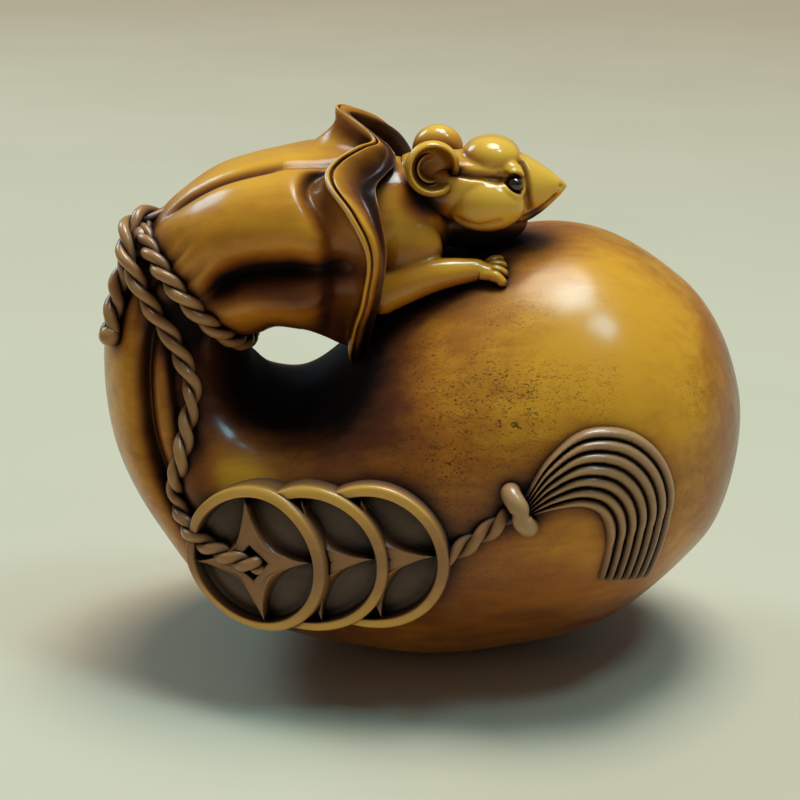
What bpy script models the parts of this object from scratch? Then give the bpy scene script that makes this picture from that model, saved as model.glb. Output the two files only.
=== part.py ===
"""Carved netsuke: a mouse leans out of the ruffled mouth of a tied sack.

The sack is a loft of sections that run from the round body, round the cord gap
and through the tied neck to the mouth. The rope, coins and tassel follow its
surface. All sizes below are in millimetres and are turned into metres when a
mesh is made. The front of the carving faces -Y and its longest side runs along X.
"""

import math

import bmesh
import bpy
import numpy as np
from mathutils import Matrix, Vector
from mathutils.bvhtree import BVHTree

MM = 0.001
TRIANGLES = 9500

# Sack sections: centre x, centre z, turn in degrees, half height, half depth, middle y, power
SACK_SECTIONS = (
    (22.5, 19.5, -3, 8.8, 9.3, 0.0, 2.0),
    (19.9, 19.3, -2, 11.5, 12.4, 0.0, 2.0),
    (16.2, 18.9, -2, 14.3, 15.0, 0.0, 2.0),
    (12.3, 18.3, -2, 16.0, 16.2, 0.0, 2.0),
    (7.9, 17.6, -1, 16.5, 16.5, 0.0, 2.0),
    (1.8, 16.5, 3, 16.3, 16.4, 0.0, 2.0),
    (-3.7, 15.6, 8, 14.5, 15.6, 0.0, 2.1),
    (-8.6, 14.0, 16, 10.6, 15.0, 0.0, 2.6),
    (-12.4, 14.1, 25, 8.5, 13.8, 0.0, 2.7),
    (-15.9, 16.6, 38, 6.8, 12.2, 0.0, 2.6),
    (-18.0, 19.8, 56, 6.2, 10.6, -0.3, 2.3),
    (-18.8, 23.1, 79, 5.7, 9.2, -0.7, 2.1),
    (-18.8, 26.6, 108, 5.5, 8.0, -1.0, 2.0),
    (-17.7, 29.7, 133, 5.4, 7.2, -1.4, 2.0),
    (-15.5, 31.8, 147, 6.0, 8.4, -1.7, 2.3),
    (-12.9, 33.4, 159, 6.2, 9.2, -2.0, 2.5),
    (-9.5, 34.0, 173, 6.6, 9.7, -2.2, 2.5),
)
SACK_POLES = ((24.4, 19.8, 4.4, 4.7), (25.05, 20.0, 1.4, 1.5))
SACK_SIDES = 42
BODY_STATIONS = (0, 0.8, 1.6, 2.4, 3.2, 4, 4.8, 5.6, 6.4, 7.2, 7.9, 8.6, 9.3, 10, 10.7, 11.4, 12.1,
                 12.7, 13.2)
LOBE_RINGS = 10
NECK_STATIONS = ((12.7, 0.5), (13.1, 0.95), (13.4, 1.0), (14, 1.0), (14.6, 1.0), (15.3, 1.0), (16, 1.0))

# Folds: angle in degrees, depth, half width in degrees, section range, ramp length
SACK_FOLDS = (
    (106, 1.50, 8, 8.0, 13.2, 1.5),
    (82, 0.60, 7, 9.4, 13.0, 1.0),
    (84, 2.20, 9, 13.2, 19.0, 1.3),
    (160, 0.90, 7, 13.3, 16.8, 1.0),
    (128, 0.25, 10, 12.4, 14.6, 0.8),
    (256, 0.90, 9, 8.8, 13.2, 1.2),
    (272, 1.10, 10, 13.2, 19.0, 1.3),
    (218, 0.60, 8, 12.4, 16.8, 0.9),
)
MOUTH_AXIS_Y = -2.4
MOUTH_AXIS_Z = 34.0

# Mouth rim: angle in degrees, lip x, lip radius, how far the lip curls back
MOUTH_RIM = (
    (0, -4.5, 10.2, 0.9),
    (14, -5.2, 9.5, 1.0),
    (48, -5.0, 8.6, 1.0),
    (75, -4.2, 9.5, 0.8),
    (96, -4.0, 10.3, 0.9),
    (110, -5.2, 10.4, 1.75),
    (125, -6.9, 10.1, 2.95),
    (142, -6.5, 9.0, 3.0),
    (158, -4.8, 8.3, 1.8),
    (168, -3.6, 8.2, 0.6),
    (183, -6.4, 10.3, 0.5),
    (205, -4.0, 9.9, 0.8),
    (235, -2.2, 9.7, 1.1),
    (270, -1.9, 9.8, 1.2),
    (305, -3.2, 9.0, 1.4),
    (335, -3.8, 9.0, 1.3),
)
LIP_THICKNESS = 0.55
LIP_UNDERCUT = 1.0
MOUTH_WALL = 0.9
MOUTH_FLOOR_X = -7.5
MOUTH_FLOOR_SHARE = 0.62

# Underside: level of the flat cut, and the low eight-sided foot that the carving stands on
FLAT_SPOT = 0.8
FOOT_CENTRE = (1.1, -0.2)
FOOT_RADIUS = 4.2
FOOT_DROP = 0.06
FOOT_SIDES = 8

# Mouse: middle plane, then head sections of x, middle z, half height, half width
MOUSE_Y = -2.6
HEAD_SECTIONS = (
    (-1.4, 38.2, 2.0, 2.5),
    (0.5, 38.2, 2.6, 3.4),
    (2.5, 38.0, 2.7, 3.7),
    (4.5, 38.0, 2.8, 3.6),
    (6.3, 38.0, 2.75, 3.0),
    (7.7, 37.8, 2.55, 2.35),
    (9.0, 37.8, 1.8, 1.6),
    (10.1, 37.9, 0.9, 0.8),
    (10.7, 38.0, 0.35, 0.3),
)
HEAD_STATIONS = (0, 0.9, 1.8, 2.7, 3.6, 4.5, 5.4, 6.2, 7.0, 7.6, 8.0)
HEAD_SIDES = 18
HEAD_TURN = -4.0
EAR_CENTRE = (1.1, 4.1, 39.9)
EAR_RADIUS = 2.1
EAR_THICKNESS = 1.5
EAR_DISH = 0.8
EAR_SIDES = 14
BROW = ((5.2, 1.3, 40.4), (2.1, 1.5, 1.45))
CHEEK = ((4.9, 2.35, 37.0), (2.9, 1.9, 2.05))
LID = ((6.7, 2.0, 39.2), (1.0, 0.8, 0.95))
EYE = (7.05, 2.65, 38.55)
EYE_RADIUS = 0.55
EYE_GAP = 0.05

# Mouse body: centre and radii of each rounded form, y measured from the middle plane
TORSO = ((-3.6, 0.0, 35.6), (5.8, 5.4, 5.6))
THROAT = ((3.8, 0.0, 35.3), (4.3, 2.0, 2.3))
SHOULDER = ((-0.9, 3.5, 33.9), (2.6, 1.8, 2.4))
ELBOW = (-2.9, 4.6, 30.7)
WRIST = (4.1, 4.5, 32.5)
ARM_RADII = (1.55, 0.85)
ARM_SINK = 0.35
PAW_LENGTH = 1.75
FINGER_RADIUS = 0.40
FINGER_SPREAD = (-0.75, -0.25, 0.25, 0.75)

# Rope: half width, section of its two strands, length of one full twist; TIE runs over the wrap
ROPE_RADIUS = 0.80
ROPE_SECTION = ((0, 1.0), (58, 0.62), (122, 0.62))
ROPE_TWIST = 3.6
ROPE_STEP = 0.75
ROPE_RISE = 0.30
SHORT_END_RISE = 0.5
WRAP_SECTION = 13.35
TIE = (
    (-19.2, -1.6, 36.2),
    (-20.6, -2.6, 35.9),
    (-21.4, -3.6, 35.7),
    (-21.9, -5.0, 34.9),
    (-21.9, -6.2, 33.8),
    (-21.4, -7.0, 32.6),
)
TIE_LUMP = ((-20.9, -4.2, 34.0), (1.2, 1.6, 1.3))
LONG_END = (
    (-20.4, 30.7),
    (-18.9, 28.7),
    (-17.9, 26.7),
    (-17.1, 24.9),
    (-16.8, 23.0),
    (-17.3, 21.0),
    (-17.7, 18.5),
    (-18.1, 16.4),
    (-17.9, 14.6),
    (-16.6, 13.2),
    (-14.4, 12.3),
    (-12.4, 12.0),
    (-11.4, 12.0),
)
SHORT_END = (
    (-22.2, -5.4, 33.3),
    (-22.5, -5.5, 32.0),
    (-22.8, -5.7, 30.6),
    (-22.9, -6.1, 29.2),
    (-23.0, -6.4, 28.1),
    (-22.9, -6.6, 27.3),
)

# Coins: middles in the front view, radius, rim width, heights over the sack
COIN_MIDDLES = ((-11.9, 12.55), (-7.8, 12.95), (-3.5, 13.3))
COIN_RADIUS = 5.65
COIN_RIM = 0.85
COIN_FACE = 0.20
COIN_RELIEF = 1.15
COIN_BEND = 0.45
COIN_TILT = 5.0
COIN_TURN = 8.0
COIN_HOLE = 1.25
COIN_SIDES = 24
COIN_SUNK = 1.35
STAR_WAIST = 2.15
STAR_SLOPE = 0.42
SHORT_ROPE = ((1.2, 13.2), (2.2, 13.8), (3.4, 14.7), (4.8, 15.7), (6.3, 17.0))

# Knot ring and tassel, in the front view
KNOT = (6.9, 17.35)
KNOT_RADII = (1.05, 1.4, 0.72)
TASSEL_INNER = (
    (7.6, 16.9), (9.3, 17.3), (11.0, 17.5), (12.2, 17.1), (12.9, 16.2), (13.2, 14.8), (13.1, 13.0),
    (12.8, 11.0),
)
TASSEL_OUTER = (
    (7.2, 18.2), (8.9, 21.0), (11.4, 22.9), (14.6, 22.7), (17.0, 20.7), (18.2, 17.7), (18.0, 14.4),
    (17.0, 10.0),
)
TASSEL_STRANDS = 7
TASSEL_ROWS = 13
TASSEL_RISE = 1.2
TASSEL_GROOVE = 0.5

WOOD = ((0.42, 0.17, 0.035, 1.0), 0.3)
HORN = ((0.012, 0.008, 0.006, 1.0), 0.12)


def clear_scene():
    """Remove every object that is already in the file."""
    for item in list(bpy.data.objects):
        bpy.data.objects.remove(item, do_unlink=True)


def make_material(name, colour, roughness):
    """Make one opaque surface with a Principled BSDF."""
    material = bpy.data.materials.new(name)
    material.use_nodes = True
    shader = material.node_tree.nodes["Principled BSDF"]
    shader.inputs["Base Color"].default_value = colour
    shader.inputs["Roughness"].default_value = roughness
    shader.inputs["Metallic"].default_value = 0.0
    return material


def make_object(name, points, faces):
    """Make a closed mesh object from millimetre points, with its faces turned outwards."""
    mesh = bpy.data.meshes.new(name)
    body = bmesh.new()
    verts = [body.verts.new(Vector(point) * MM) for point in points]
    for face in faces:
        body.faces.new([verts[index] for index in face])
    bmesh.ops.recalc_face_normals(body, faces=body.faces)
    for face in body.faces:
        face.smooth = True
    bmesh.ops.triangulate(body, faces=body.faces)
    body.to_mesh(mesh)
    body.free()
    item = bpy.data.objects.new(name, mesh)
    bpy.context.scene.collection.objects.link(item)
    return item


def loft(name, rings, first_point=None, last_point=None):
    """Skin rings of equal length and close both ends, with a point or a flat face."""
    count = len(rings[0])
    points = [point for ring in rings for point in ring]
    faces = []
    for row in range(len(rings) - 1):
        for side in range(count):
            following = (side + 1) % count
            here = row * count
            above = here + count
            faces.append((here + side, here + following, above + following, above + side))
    for end_point, start in ((first_point, 0), (last_point, (len(rings) - 1) * count)):
        if end_point is None:
            faces.append(tuple(range(start, start + count)))
            continue
        points.append(end_point)
        tip = len(points) - 1
        for side in range(count):
            faces.append((start + side, start + (side + 1) % count, tip))
    return make_object(name, points, faces)


def ellipsoid(name, centre, radii, sides=16, rows=9):
    """Make a rounded form with its poles along Z."""
    rings = []
    for row in range(1, rows):
        tilt = math.pi * row / rows
        ring = []
        for side in range(sides):
            turn = 2 * math.pi * side / sides
            ring.append((
                centre[0] + radii[0] * math.sin(tilt) * math.cos(turn),
                centre[1] + radii[1] * math.sin(tilt) * math.sin(turn),
                centre[2] + radii[2] * math.cos(tilt),
            ))
        rings.append(ring)
    top = (centre[0], centre[1], centre[2] + radii[2])
    bottom = (centre[0], centre[1], centre[2] - radii[2])
    return loft(name, rings, top, bottom)


def spline(points, stations):
    """Read a Catmull-Rom curve through rows of numbers at fractional row numbers."""
    rows = np.array(points, dtype=float)
    last = len(rows) - 1
    values = []
    for station in stations:
        index = min(int(station), last - 1)
        part = station - index
        before = rows[max(index - 1, 0)]
        start = rows[index]
        end = rows[index + 1]
        after = rows[min(index + 2, last)]
        tangent_in = (end - before) / 2
        tangent_out = (after - start) / 2
        square = part * part
        cube = square * part
        values.append(
            (2 * cube - 3 * square + 1) * start
            + (cube - 2 * square + part) * tangent_in
            + (3 * square - 2 * cube) * end
            + (cube - square) * tangent_out
        )
    return np.array(values)


def even_path(points, step):
    """Return points at an even spacing along a smooth curve through the given points."""
    fine = spline(points, np.linspace(0, len(points) - 1, 40 * len(points)))
    lengths = np.concatenate(([0], np.cumsum(np.linalg.norm(np.diff(fine, axis=0), axis=1))))
    count = max(3, round(lengths[-1] / step) + 1)
    wanted = np.linspace(0, lengths[-1], count)
    return np.stack([np.interp(wanted, lengths, fine[:, axis]) for axis in range(fine.shape[1])], 1)


def fold_depth(angle, station):
    """Return how deep the folds of the cloth lie at an angle of a sack section."""
    depth = 0.0
    for middle, fold, width, start, end, ramp in SACK_FOLDS:
        rise = min(max((station - start) / ramp, 0), 1) * min(max((end - station) / ramp, 0), 1)
        away = abs((angle - middle + 180) % 360 - 180) / width
        depth += fold * rise * math.exp(-away * away)
    return depth


def signed_power(value, power):
    """Raise the size of a number to 2/power and keep its sign."""
    return math.copysign(abs(value) ** (2 / power), value)


def section_ring(section, station):
    """Return one closed ring of the sack; angle 0 faces the cord gap, 90 the front."""
    x, z, turn, half_height, half_depth, middle_y, power = section
    turn = math.radians(turn)
    out_x, out_z = -math.sin(turn), -math.cos(turn)
    ring = []
    for side in range(SACK_SIDES):
        angle = 360 * side / SACK_SIDES
        cosine = math.cos(math.radians(angle))
        sine = math.sin(math.radians(angle))
        shrink = 1 - fold_depth(angle, station) / (0.5 * (half_height + half_depth))
        height = -half_height * signed_power(cosine, power) * shrink
        depth = -half_depth * signed_power(sine, power) * shrink
        ring.append((x + out_x * height, middle_y + depth, z + out_z * height))
    return ring


def rim_value(angle, column):
    """Read one column of the rim table at an angle, smoothly and without a seam."""
    count = len(MOUTH_RIM)
    rows = [
        (MOUTH_RIM[index % count][0] + 360 * (index // count), MOUTH_RIM[index % count][column])
        for index in range(-2, count + 3)
    ]
    for index in range(1, len(rows) - 2):
        if rows[index][0] <= angle < rows[index + 1][0]:
            part = (angle - rows[index][0]) / (rows[index + 1][0] - rows[index][0])
            values = [[rows[index + shift][1]] for shift in (-1, 0, 1, 2)]
            return float(spline(values, [1 + part])[0][0])
    return rows[2][1]


def mouth_rings():
    """Return the rings that run over the lip of the mouth and down into it."""
    rows = [[] for _ in range(7)]
    for side in range(SACK_SIDES):
        angle = 360 * side / SACK_SIDES
        lip_x = rim_value(angle, 1)
        lip_radius = rim_value(angle, 2)
        curl = rim_value(angle, 3)
        crest_x = lip_x + curl
        crest_radius = lip_radius - 0.5 - 0.3 * curl
        stations = (
            (lip_x - 0.15, lip_radius - LIP_UNDERCUT),
            (lip_x, lip_radius),
            (lip_x + LIP_THICKNESS, lip_radius + 0.05 - 0.1 * curl),
            (0.45 * lip_x + 0.55 * crest_x + LIP_THICKNESS, 0.5 * (lip_radius + crest_radius)),
            (crest_x + LIP_THICKNESS, crest_radius),
            (crest_x - 0.6, crest_radius - MOUTH_WALL - 0.3),
            (MOUTH_FLOOR_X, MOUTH_FLOOR_SHARE * lip_radius),
        )
        cosine = math.cos(math.radians(angle))
        sine = math.sin(math.radians(angle))
        for row, (x, radius) in zip(rows, stations):
            row.append((x, MOUTH_AXIS_Y - radius * sine, MOUTH_AXIS_Z - radius * cosine))
    return rows


def make_sack():
    """Loft the sack from its round end, round the cord gap and up to the tie."""
    rings = []
    for x, z, half_height, half_depth in reversed(SACK_POLES):
        rings.append(section_ring((x, z, -3, half_height, half_depth, 0.0, 2.0), 0))
    for station, section in zip(BODY_STATIONS, spline(SACK_SECTIONS, BODY_STATIONS)):
        rings.append(section_ring(section, station))
    pole = (25.15, 0.0, 20.0)
    return loft("sack", rings, pole), loft("lobe", rings[:LOBE_RINGS], pole)


def make_mouth():
    """Loft the cloth above the tie, over the lip of the mouth and down to its floor."""
    rings = []
    for station, share in NECK_STATIONS:
        section = spline(SACK_SECTIONS, [station])[0]
        section[3:5] *= share
        rings.append(section_ring(section, station))
    rings.extend(mouth_rings())
    return loft("mouth", rings, None, (MOUTH_FLOOR_X, MOUTH_AXIS_Y, MOUTH_AXIS_Z))


class Skin:
    """Finds the surface of the sack along straight lines."""

    def __init__(self, items):
        """Read the meshes of the given objects."""
        mesh = bmesh.new()
        for item in items:
            mesh.from_mesh(item.data)
        self.tree = BVHTree.FromBMesh(mesh)
        mesh.free()

    def front(self, x, z, rise=0.0):
        """Return the point over the front surface at x and z, and the surface's normal."""
        start = Vector((x, -60, z)) * MM
        place, normal, _, _ = self.tree.ray_cast(start, Vector((0, 1, 0)))
        if place is None:
            place, normal, _, _ = self.tree.find_nearest(Vector((x, MOUTH_AXIS_Y, z)) * MM)
        return place / MM + normal * rise, normal

    def nearest(self, point, rise):
        """Return the point at a height over the surface nearest to a point."""
        place, normal, _, _ = self.tree.find_nearest(Vector(point) * MM)
        return place / MM + normal * rise

    def top(self, x, y):
        """Return the height of the sack's upper surface at x and y."""
        place, _, _, _ = self.tree.ray_cast(Vector((x, y, 60)) * MM, Vector((0, 0, -1)))
        return place.z / MM


def sweep(name, path, ring_at, closed=False):
    """Carry a ring along a path; ring_at gives the flat ring points for a share of the path."""
    path = [Vector(point) for point in path]
    count = len(path)
    tangents = []
    for index in range(count):
        before = path[index - 1] if closed or index else path[index]
        after = path[(index + 1) % count] if closed or index < count - 1 else path[index]
        tangents.append((after - before).normalized())
    side = tangents[0].orthogonal().normalized()
    rings = []
    for index, (point, tangent) in enumerate(zip(path, tangents)):
        side = (side - tangent * side.dot(tangent)).normalized()
        up = tangent.cross(side)
        share = index / (count if closed else count - 1)
        rings.append([point + side * a + up * b for a, b in ring_at(share)])
    if not closed:
        start = path[0] - tangents[0] * 0.3
        end = path[-1] + tangents[-1] * 0.3
        return loft(name, rings, start, end)
    points = [point for ring in rings for point in ring]
    sides = len(rings[0])
    faces = []
    for row in range(count):
        here = row * sides
        above = (row + 1) % count * sides
        for corner in range(sides):
            following = (corner + 1) % sides
            faces.append((here + corner, here + following, above + following, above + corner))
    return make_object(name, points, faces)


def round_ring(radius, sides):
    """Return a regular flat ring."""
    angles = np.linspace(0, 2 * math.pi, sides + 1)[:-1]
    return [(radius * math.cos(angle), radius * math.sin(angle)) for angle in angles]


def make_rope(name, path, closed=False):
    """Make a rope of two twisted strands along a path."""
    length = sum((Vector(a) - Vector(b)).length for a, b in zip(path[1:], path))
    turns = round(length / ROPE_TWIST)

    def ring(share):
        """Return the two-lobed section, turned with the twist."""
        spots = []
        for half in (0, 180):
            for corner, reach in ROPE_SECTION:
                angle = math.radians(corner + half) - 2 * math.pi * turns * share
                spots.append((ROPE_RADIUS * reach * math.cos(angle), ROPE_RADIUS * reach * math.sin(angle)))
        return spots

    return sweep(name, path, ring, closed)


def make_ropes(skin, bare_skin):
    """Make the rope round the neck, its two ends and the short rope to the knot."""
    section = spline(SACK_SECTIONS, [WRAP_SECTION])[0]
    section[3] += ROPE_RISE
    section[4] += ROPE_RISE
    wrap = section_ring(section, 0)
    wrap.append(wrap[0])
    items = [make_rope("rope_wrap", even_path(wrap, ROPE_STEP)[:-1], closed=True)]
    hanging = [skin.front(x, z, ROPE_RISE)[0] for x, z in even_path(LONG_END, ROPE_STEP)]
    hanging = eased(even_path(list(TIE) + eased(hanging), ROPE_STEP))
    items.append(make_rope("rope_long", hanging))
    short = [bare_skin.nearest(point, SHORT_END_RISE) for point in even_path(SHORT_END, ROPE_STEP)]
    items.append(make_rope("rope_short", eased(short)))
    joining = [bare_skin.front(x, z, ROPE_RISE)[0] for x, z in even_path(SHORT_ROPE, ROPE_STEP)]
    items.append(make_rope("rope_coin", eased(joining)))
    items.append(ellipsoid("tie", *TIE_LUMP))
    return items


def eased(path):
    """Smooth a path a little and keep its ends."""
    path = [Vector(point) for point in path]
    for _ in range(2):
        inner = [(a + b * 2 + c) / 4 for a, b, c in zip(path, path[1:], path[2:])]
        path = [path[0]] + inner + [path[-1]]
    return path


def star_sides(angle, inner):
    """Return how far a coin's star reaches at its foot, and how wide its sloping side is there."""
    cosine = math.cos(angle % (math.pi / 2))
    sine = math.sin(angle % (math.pi / 2))
    spot = (inner ** 2 - STAR_WAIST ** 2) / (2 * inner - 2 * math.sqrt(2) * STAR_WAIST)
    bow = spot * math.sqrt(2) - STAR_WAIST
    reach = spot * (cosine + sine) - math.sqrt(max(bow ** 2 - (spot * (cosine - sine)) ** 2, 0))
    return min(reach, inner - 0.02), STAR_SLOPE * 2 * cosine * sine


def make_coin(skin, middle, over):
    """Make one pierced coin with a rim and a star, sunk where the coin over it hides it."""
    inner = COIN_RADIUS - COIN_RIM
    base, _ = skin.front(*middle)
    left, _ = skin.front(middle[0] - 0.7 * COIN_RADIUS, middle[1])
    right, _ = skin.front(middle[0] + 0.7 * COIN_RADIUS, middle[1])
    lean = math.atan2(right.y - left.y, right.x - left.x) - math.radians(COIN_TILT)
    along = Vector((math.cos(lean), math.sin(lean), 0))
    out = Vector((math.sin(lean), -math.cos(lean), 0))
    rows = [[] for _ in range(8)]
    for side in range(COIN_SIDES):
        angle = 2 * math.pi * side / COIN_SIDES
        square = COIN_HOLE / (abs(math.cos(angle)) + abs(math.sin(angle)))
        foot, slope = star_sides(angle, inner)
        star = max(foot - 0.12 - slope, square + 0.2)
        stations = (
            (square, 0.1),
            (square + 0.08, COIN_RELIEF - 0.1),
            (star, COIN_RELIEF - 0.1),
            (foot, COIN_FACE),
            (max(inner, foot + 0.05), COIN_FACE),
            (inner + 0.15, COIN_RELIEF),
            (COIN_RADIUS - 0.12, COIN_RELIEF - 0.05),
            (COIN_RADIUS, -2.4),
        )
        for row, (radius, height) in zip(rows, stations):
            turned = angle + math.radians(COIN_TURN)
            flat = base + along * radius * math.cos(turned) + Vector((0, 0, radius * math.sin(turned)))
            surface, _ = skin.front(flat.x, flat.z)
            bend = out * COIN_BEND * (flat.y - surface.y)
            if over and math.hypot(flat.x - over[0], flat.z - over[1]) < COIN_RADIUS - 0.4 * COIN_RIM:
                height -= COIN_SUNK
            row.append(flat + bend + out * height)
    return loft("coin", rows, base + out * 0.1, base - out * 2.8)


def make_tassel(skin):
    """Make the fanned tassel as one ribbed form between its inner and outer edge."""
    columns = 3 * TASSEL_STRANDS + 1
    inner = spline(TASSEL_INNER, np.linspace(0, len(TASSEL_INNER) - 1, TASSEL_ROWS))
    outer = spline(TASSEL_OUTER, np.linspace(0, len(TASSEL_OUTER) - 1, TASSEL_ROWS))
    rings = []
    for row in range(TASSEL_ROWS):
        share = row / (TASSEL_ROWS - 1)
        swell = math.sin(math.pi * min(1, 0.25 + 0.9 * share)) ** 0.5
        upper = []
        lower = []
        for column in range(columns):
            across = column / (columns - 1)
            spot = inner[row] * (1 - across) + outer[row] * across
            rib = 1.0 if column % 3 else 0.0
            dome = 0.55 + 0.45 * math.sin(math.pi * across) ** 0.5
            rise = TASSEL_RISE * dome * max(swell, 0.35) - TASSEL_GROOVE * (1 - rib)
            surface, normal = skin.front(*spot)
            upper.append(surface + normal * rise)
            lower.append(surface - normal * 0.7)
        rings.append(upper + lower[::-3])
    return loft("tassel", rings)


def make_knot(skin):
    """Make the knot ring between the short rope and the tassel."""
    place, normal = skin.front(*KNOT)
    along = Vector((0.8, 0.0, 0.6))
    along = (along - normal * along.dot(normal)).normalized()
    across = normal.cross(along)
    high, wide, minor = KNOT_RADII
    path = []
    for step in range(14):
        angle = 2 * math.pi * step / 14
        path.append(place + normal * (0.5 + high * math.sin(angle)) + across * wide * math.cos(angle))

    return sweep("knot_ring", path, lambda share: round_ring(minor, 8), closed=True)


def mirrored(point, side):
    """Place a point of the mouse on its near side (-1) or its far side (1)."""
    return (point[0], MOUSE_Y + side * point[1], point[2])


def make_head():
    """Loft the head from the nape to the tip of the snout."""
    rings = []
    for x, z, half_height, half_width in spline(HEAD_SECTIONS, HEAD_STATIONS):
        ring = []
        for side in range(HEAD_SIDES):
            angle = 2 * math.pi * side / HEAD_SIDES
            ring.append((x, MOUSE_Y + half_width * math.cos(angle), z + half_height * math.sin(angle)))
        rings.append(ring)
    nape = (HEAD_SECTIONS[0][0] - 1.2, MOUSE_Y, HEAD_SECTIONS[0][1])
    tip = (HEAD_SECTIONS[-1][0] + 0.2, MOUSE_Y, HEAD_SECTIONS[-1][1])
    return loft("head", rings, nape, tip)


def make_ear(side):
    """Make one round ear with a dished face."""
    centre = Vector(mirrored(EAR_CENTRE, side))
    axis = Vector((0.18, side, 0.12)).normalized()
    across = axis.cross(Vector((0, 0, 1))).normalized()
    up = across.cross(axis)
    profile = (
        (0.45, -EAR_THICKNESS),
        (0.85, -EAR_THICKNESS * 0.7),
        (1.0, -0.35),
        (0.97, 0.15),
        (0.86, 0.3),
        (0.74, 0.1),
        (0.62, -EAR_DISH * 0.75),
        (0.3, -EAR_DISH),
    )
    rings = []
    for share, height in profile:
        ring = []
        for step in range(EAR_SIDES):
            angle = 2 * math.pi * step / EAR_SIDES
            reach = share * EAR_RADIUS
            ring.append(centre + axis * height
                        + across * reach * math.cos(angle) + up * reach * math.sin(angle))
        rings.append(ring)
    return loft("ear", rings, centre - axis * EAR_THICKNESS * 1.1, centre - axis * EAR_DISH)


def make_arm(skin, side):
    """Make one forearm with its paw lying on the sack."""
    joints = []
    for point, radius in ((ELBOW, ARM_RADII[0]), (WRIST, ARM_RADII[1])):
        joint = Vector(mirrored(point, side))
        joint.z = max(joint.z, skin.top(joint.x, joint.y) + radius - ARM_SINK)
        joints.append(joint)
    elbow, wrist = joints
    middle = (elbow + wrist) / 2 + Vector((0.2, side * 0.2, 0.5))
    big, small = ARM_RADII
    path = [Vector(point) for point in even_path([elbow, middle, wrist], 1.6)]
    path.insert(0, path[0] + (path[0] - path[1]).normalized() * 0.7 * big)

    def ring(share):
        """Return the round section of the arm, full at the elbow and slim at the wrist."""
        if share == 0:
            return round_ring(0.7 * big, 9)
        return round_ring(big + (small - big) * share ** 0.8, 9)

    def finger_ring(share):
        """Return the round section of a finger."""
        return round_ring(FINGER_RADIUS * (1 - 0.25 * share), 5)

    items = [sweep("forearm", path, ring)]
    palm = wrist + Vector((0.55, 0, -0.1))
    items.append(ellipsoid("palm", palm, (1.05, 0.95, 0.62), 9, 5))
    for spread in FINGER_SPREAD:
        root = palm + Vector((0.35, spread * 0.8, 0.0))
        tip_x = palm.x + PAW_LENGTH * (1 - 0.25 * abs(spread))
        tip_y = palm.y + spread * 1.5
        tip = Vector((tip_x, tip_y, skin.top(tip_x, tip_y) + 0.12))
        finger = [root, (root + tip) / 2 + Vector((0, 0, 0.22)), tip]
        items.append(sweep("finger", finger, finger_ring))
    return items


def turn_head(items):
    """Turn the forms of the head a little towards the front."""
    centre = Vector((HEAD_SECTIONS[1][0], MOUSE_Y, 0)) * MM
    turn = Matrix.Rotation(math.radians(HEAD_TURN), 4, "Z")
    for item in items:
        item.data.transform(Matrix.Translation(centre) @ turn @ Matrix.Translation(-centre))
    return items


def make_mouse(skin):
    """Make all forms of the mouse."""
    head = [make_head()]
    body = [
        ellipsoid("torso", mirrored(TORSO[0], 1), TORSO[1], 18, 10),
        ellipsoid("throat", mirrored(THROAT[0], 1), THROAT[1], 12, 6),
    ]
    for side in (-1, 1):
        head.append(make_ear(side))
        for middle, radii in (BROW, CHEEK, LID):
            head.append(ellipsoid("lump", mirrored(middle, side), radii, 11, 7))
        body.append(ellipsoid("shoulder", mirrored(SHOULDER[0], side), SHOULDER[1], 12, 7))
        body.extend(make_arm(skin, side))
    return turn_head(head) + body


def combine(target, items, operation="UNION"):
    """Boolean the items into the target one by one and remove them."""
    for item in items:
        step = target.modifiers.new("combine", "BOOLEAN")
        step.operation = operation
        step.solver = "MANIFOLD"
        step.object = item
        apply_modifiers(target)
        bpy.data.objects.remove(item, do_unlink=True)


def apply_modifiers(item):
    """Replace the mesh of an object by its modified form."""
    graph = bpy.context.evaluated_depsgraph_get()
    result = bpy.data.meshes.new_from_object(item.evaluated_get(graph))
    item.modifiers.clear()
    item.data = result


def keep_one_body(item):
    """Triangulate an object and keep only its one whole body."""
    mesh = bmesh.new()
    mesh.from_mesh(item.data)
    bmesh.ops.triangulate(mesh, faces=mesh.faces)
    waiting = set(mesh.verts)
    bodies = []
    while waiting:
        reached = [waiting.pop()]
        body = []
        while reached:
            vert = reached.pop()
            body.append(vert)
            others = [edge.other_vert(vert) for edge in vert.link_edges]
            fresh = [other for other in others if other in waiting]
            waiting.difference_update(fresh)
            reached.extend(fresh)
        bodies.append(body)
    bodies.sort(key=len)
    for crumb in bodies[:-1]:
        bmesh.ops.delete(mesh, geom=crumb, context="VERTS")
    mesh.to_mesh(item.data)
    mesh.free()


def collapse(item):
    """Collapse the slivers that the unions leave, down to the wanted number of triangles."""
    step = item.modifiers.new("collapse", "DECIMATE")
    step.ratio = min(1.0, TRIANGLES / len(item.data.polygons))
    step.use_collapse_triangulate = True
    apply_modifiers(item)


def cutting_box(low, high):
    """Make a plain box between two corners."""
    (x0, y0, z0), (x1, y1, z1) = low, high
    rings = [[(x0, y0, z), (x1, y0, z), (x1, y1, z), (x0, y1, z)] for z in (z0, z1)]
    return loft("cutter", rings)


def make_foot():
    """Make the low foot under the flat cut, with its top inside the sack."""
    outline = [(FOOT_CENTRE[0] + x, FOOT_CENTRE[1] + y) for x, y in round_ring(FOOT_RADIUS, FOOT_SIDES)]
    rings = [[(x, y, z) for x, y in outline] for z in (FLAT_SPOT - FOOT_DROP, FLAT_SPOT + 1)]
    return loft("foot", rings)


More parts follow.
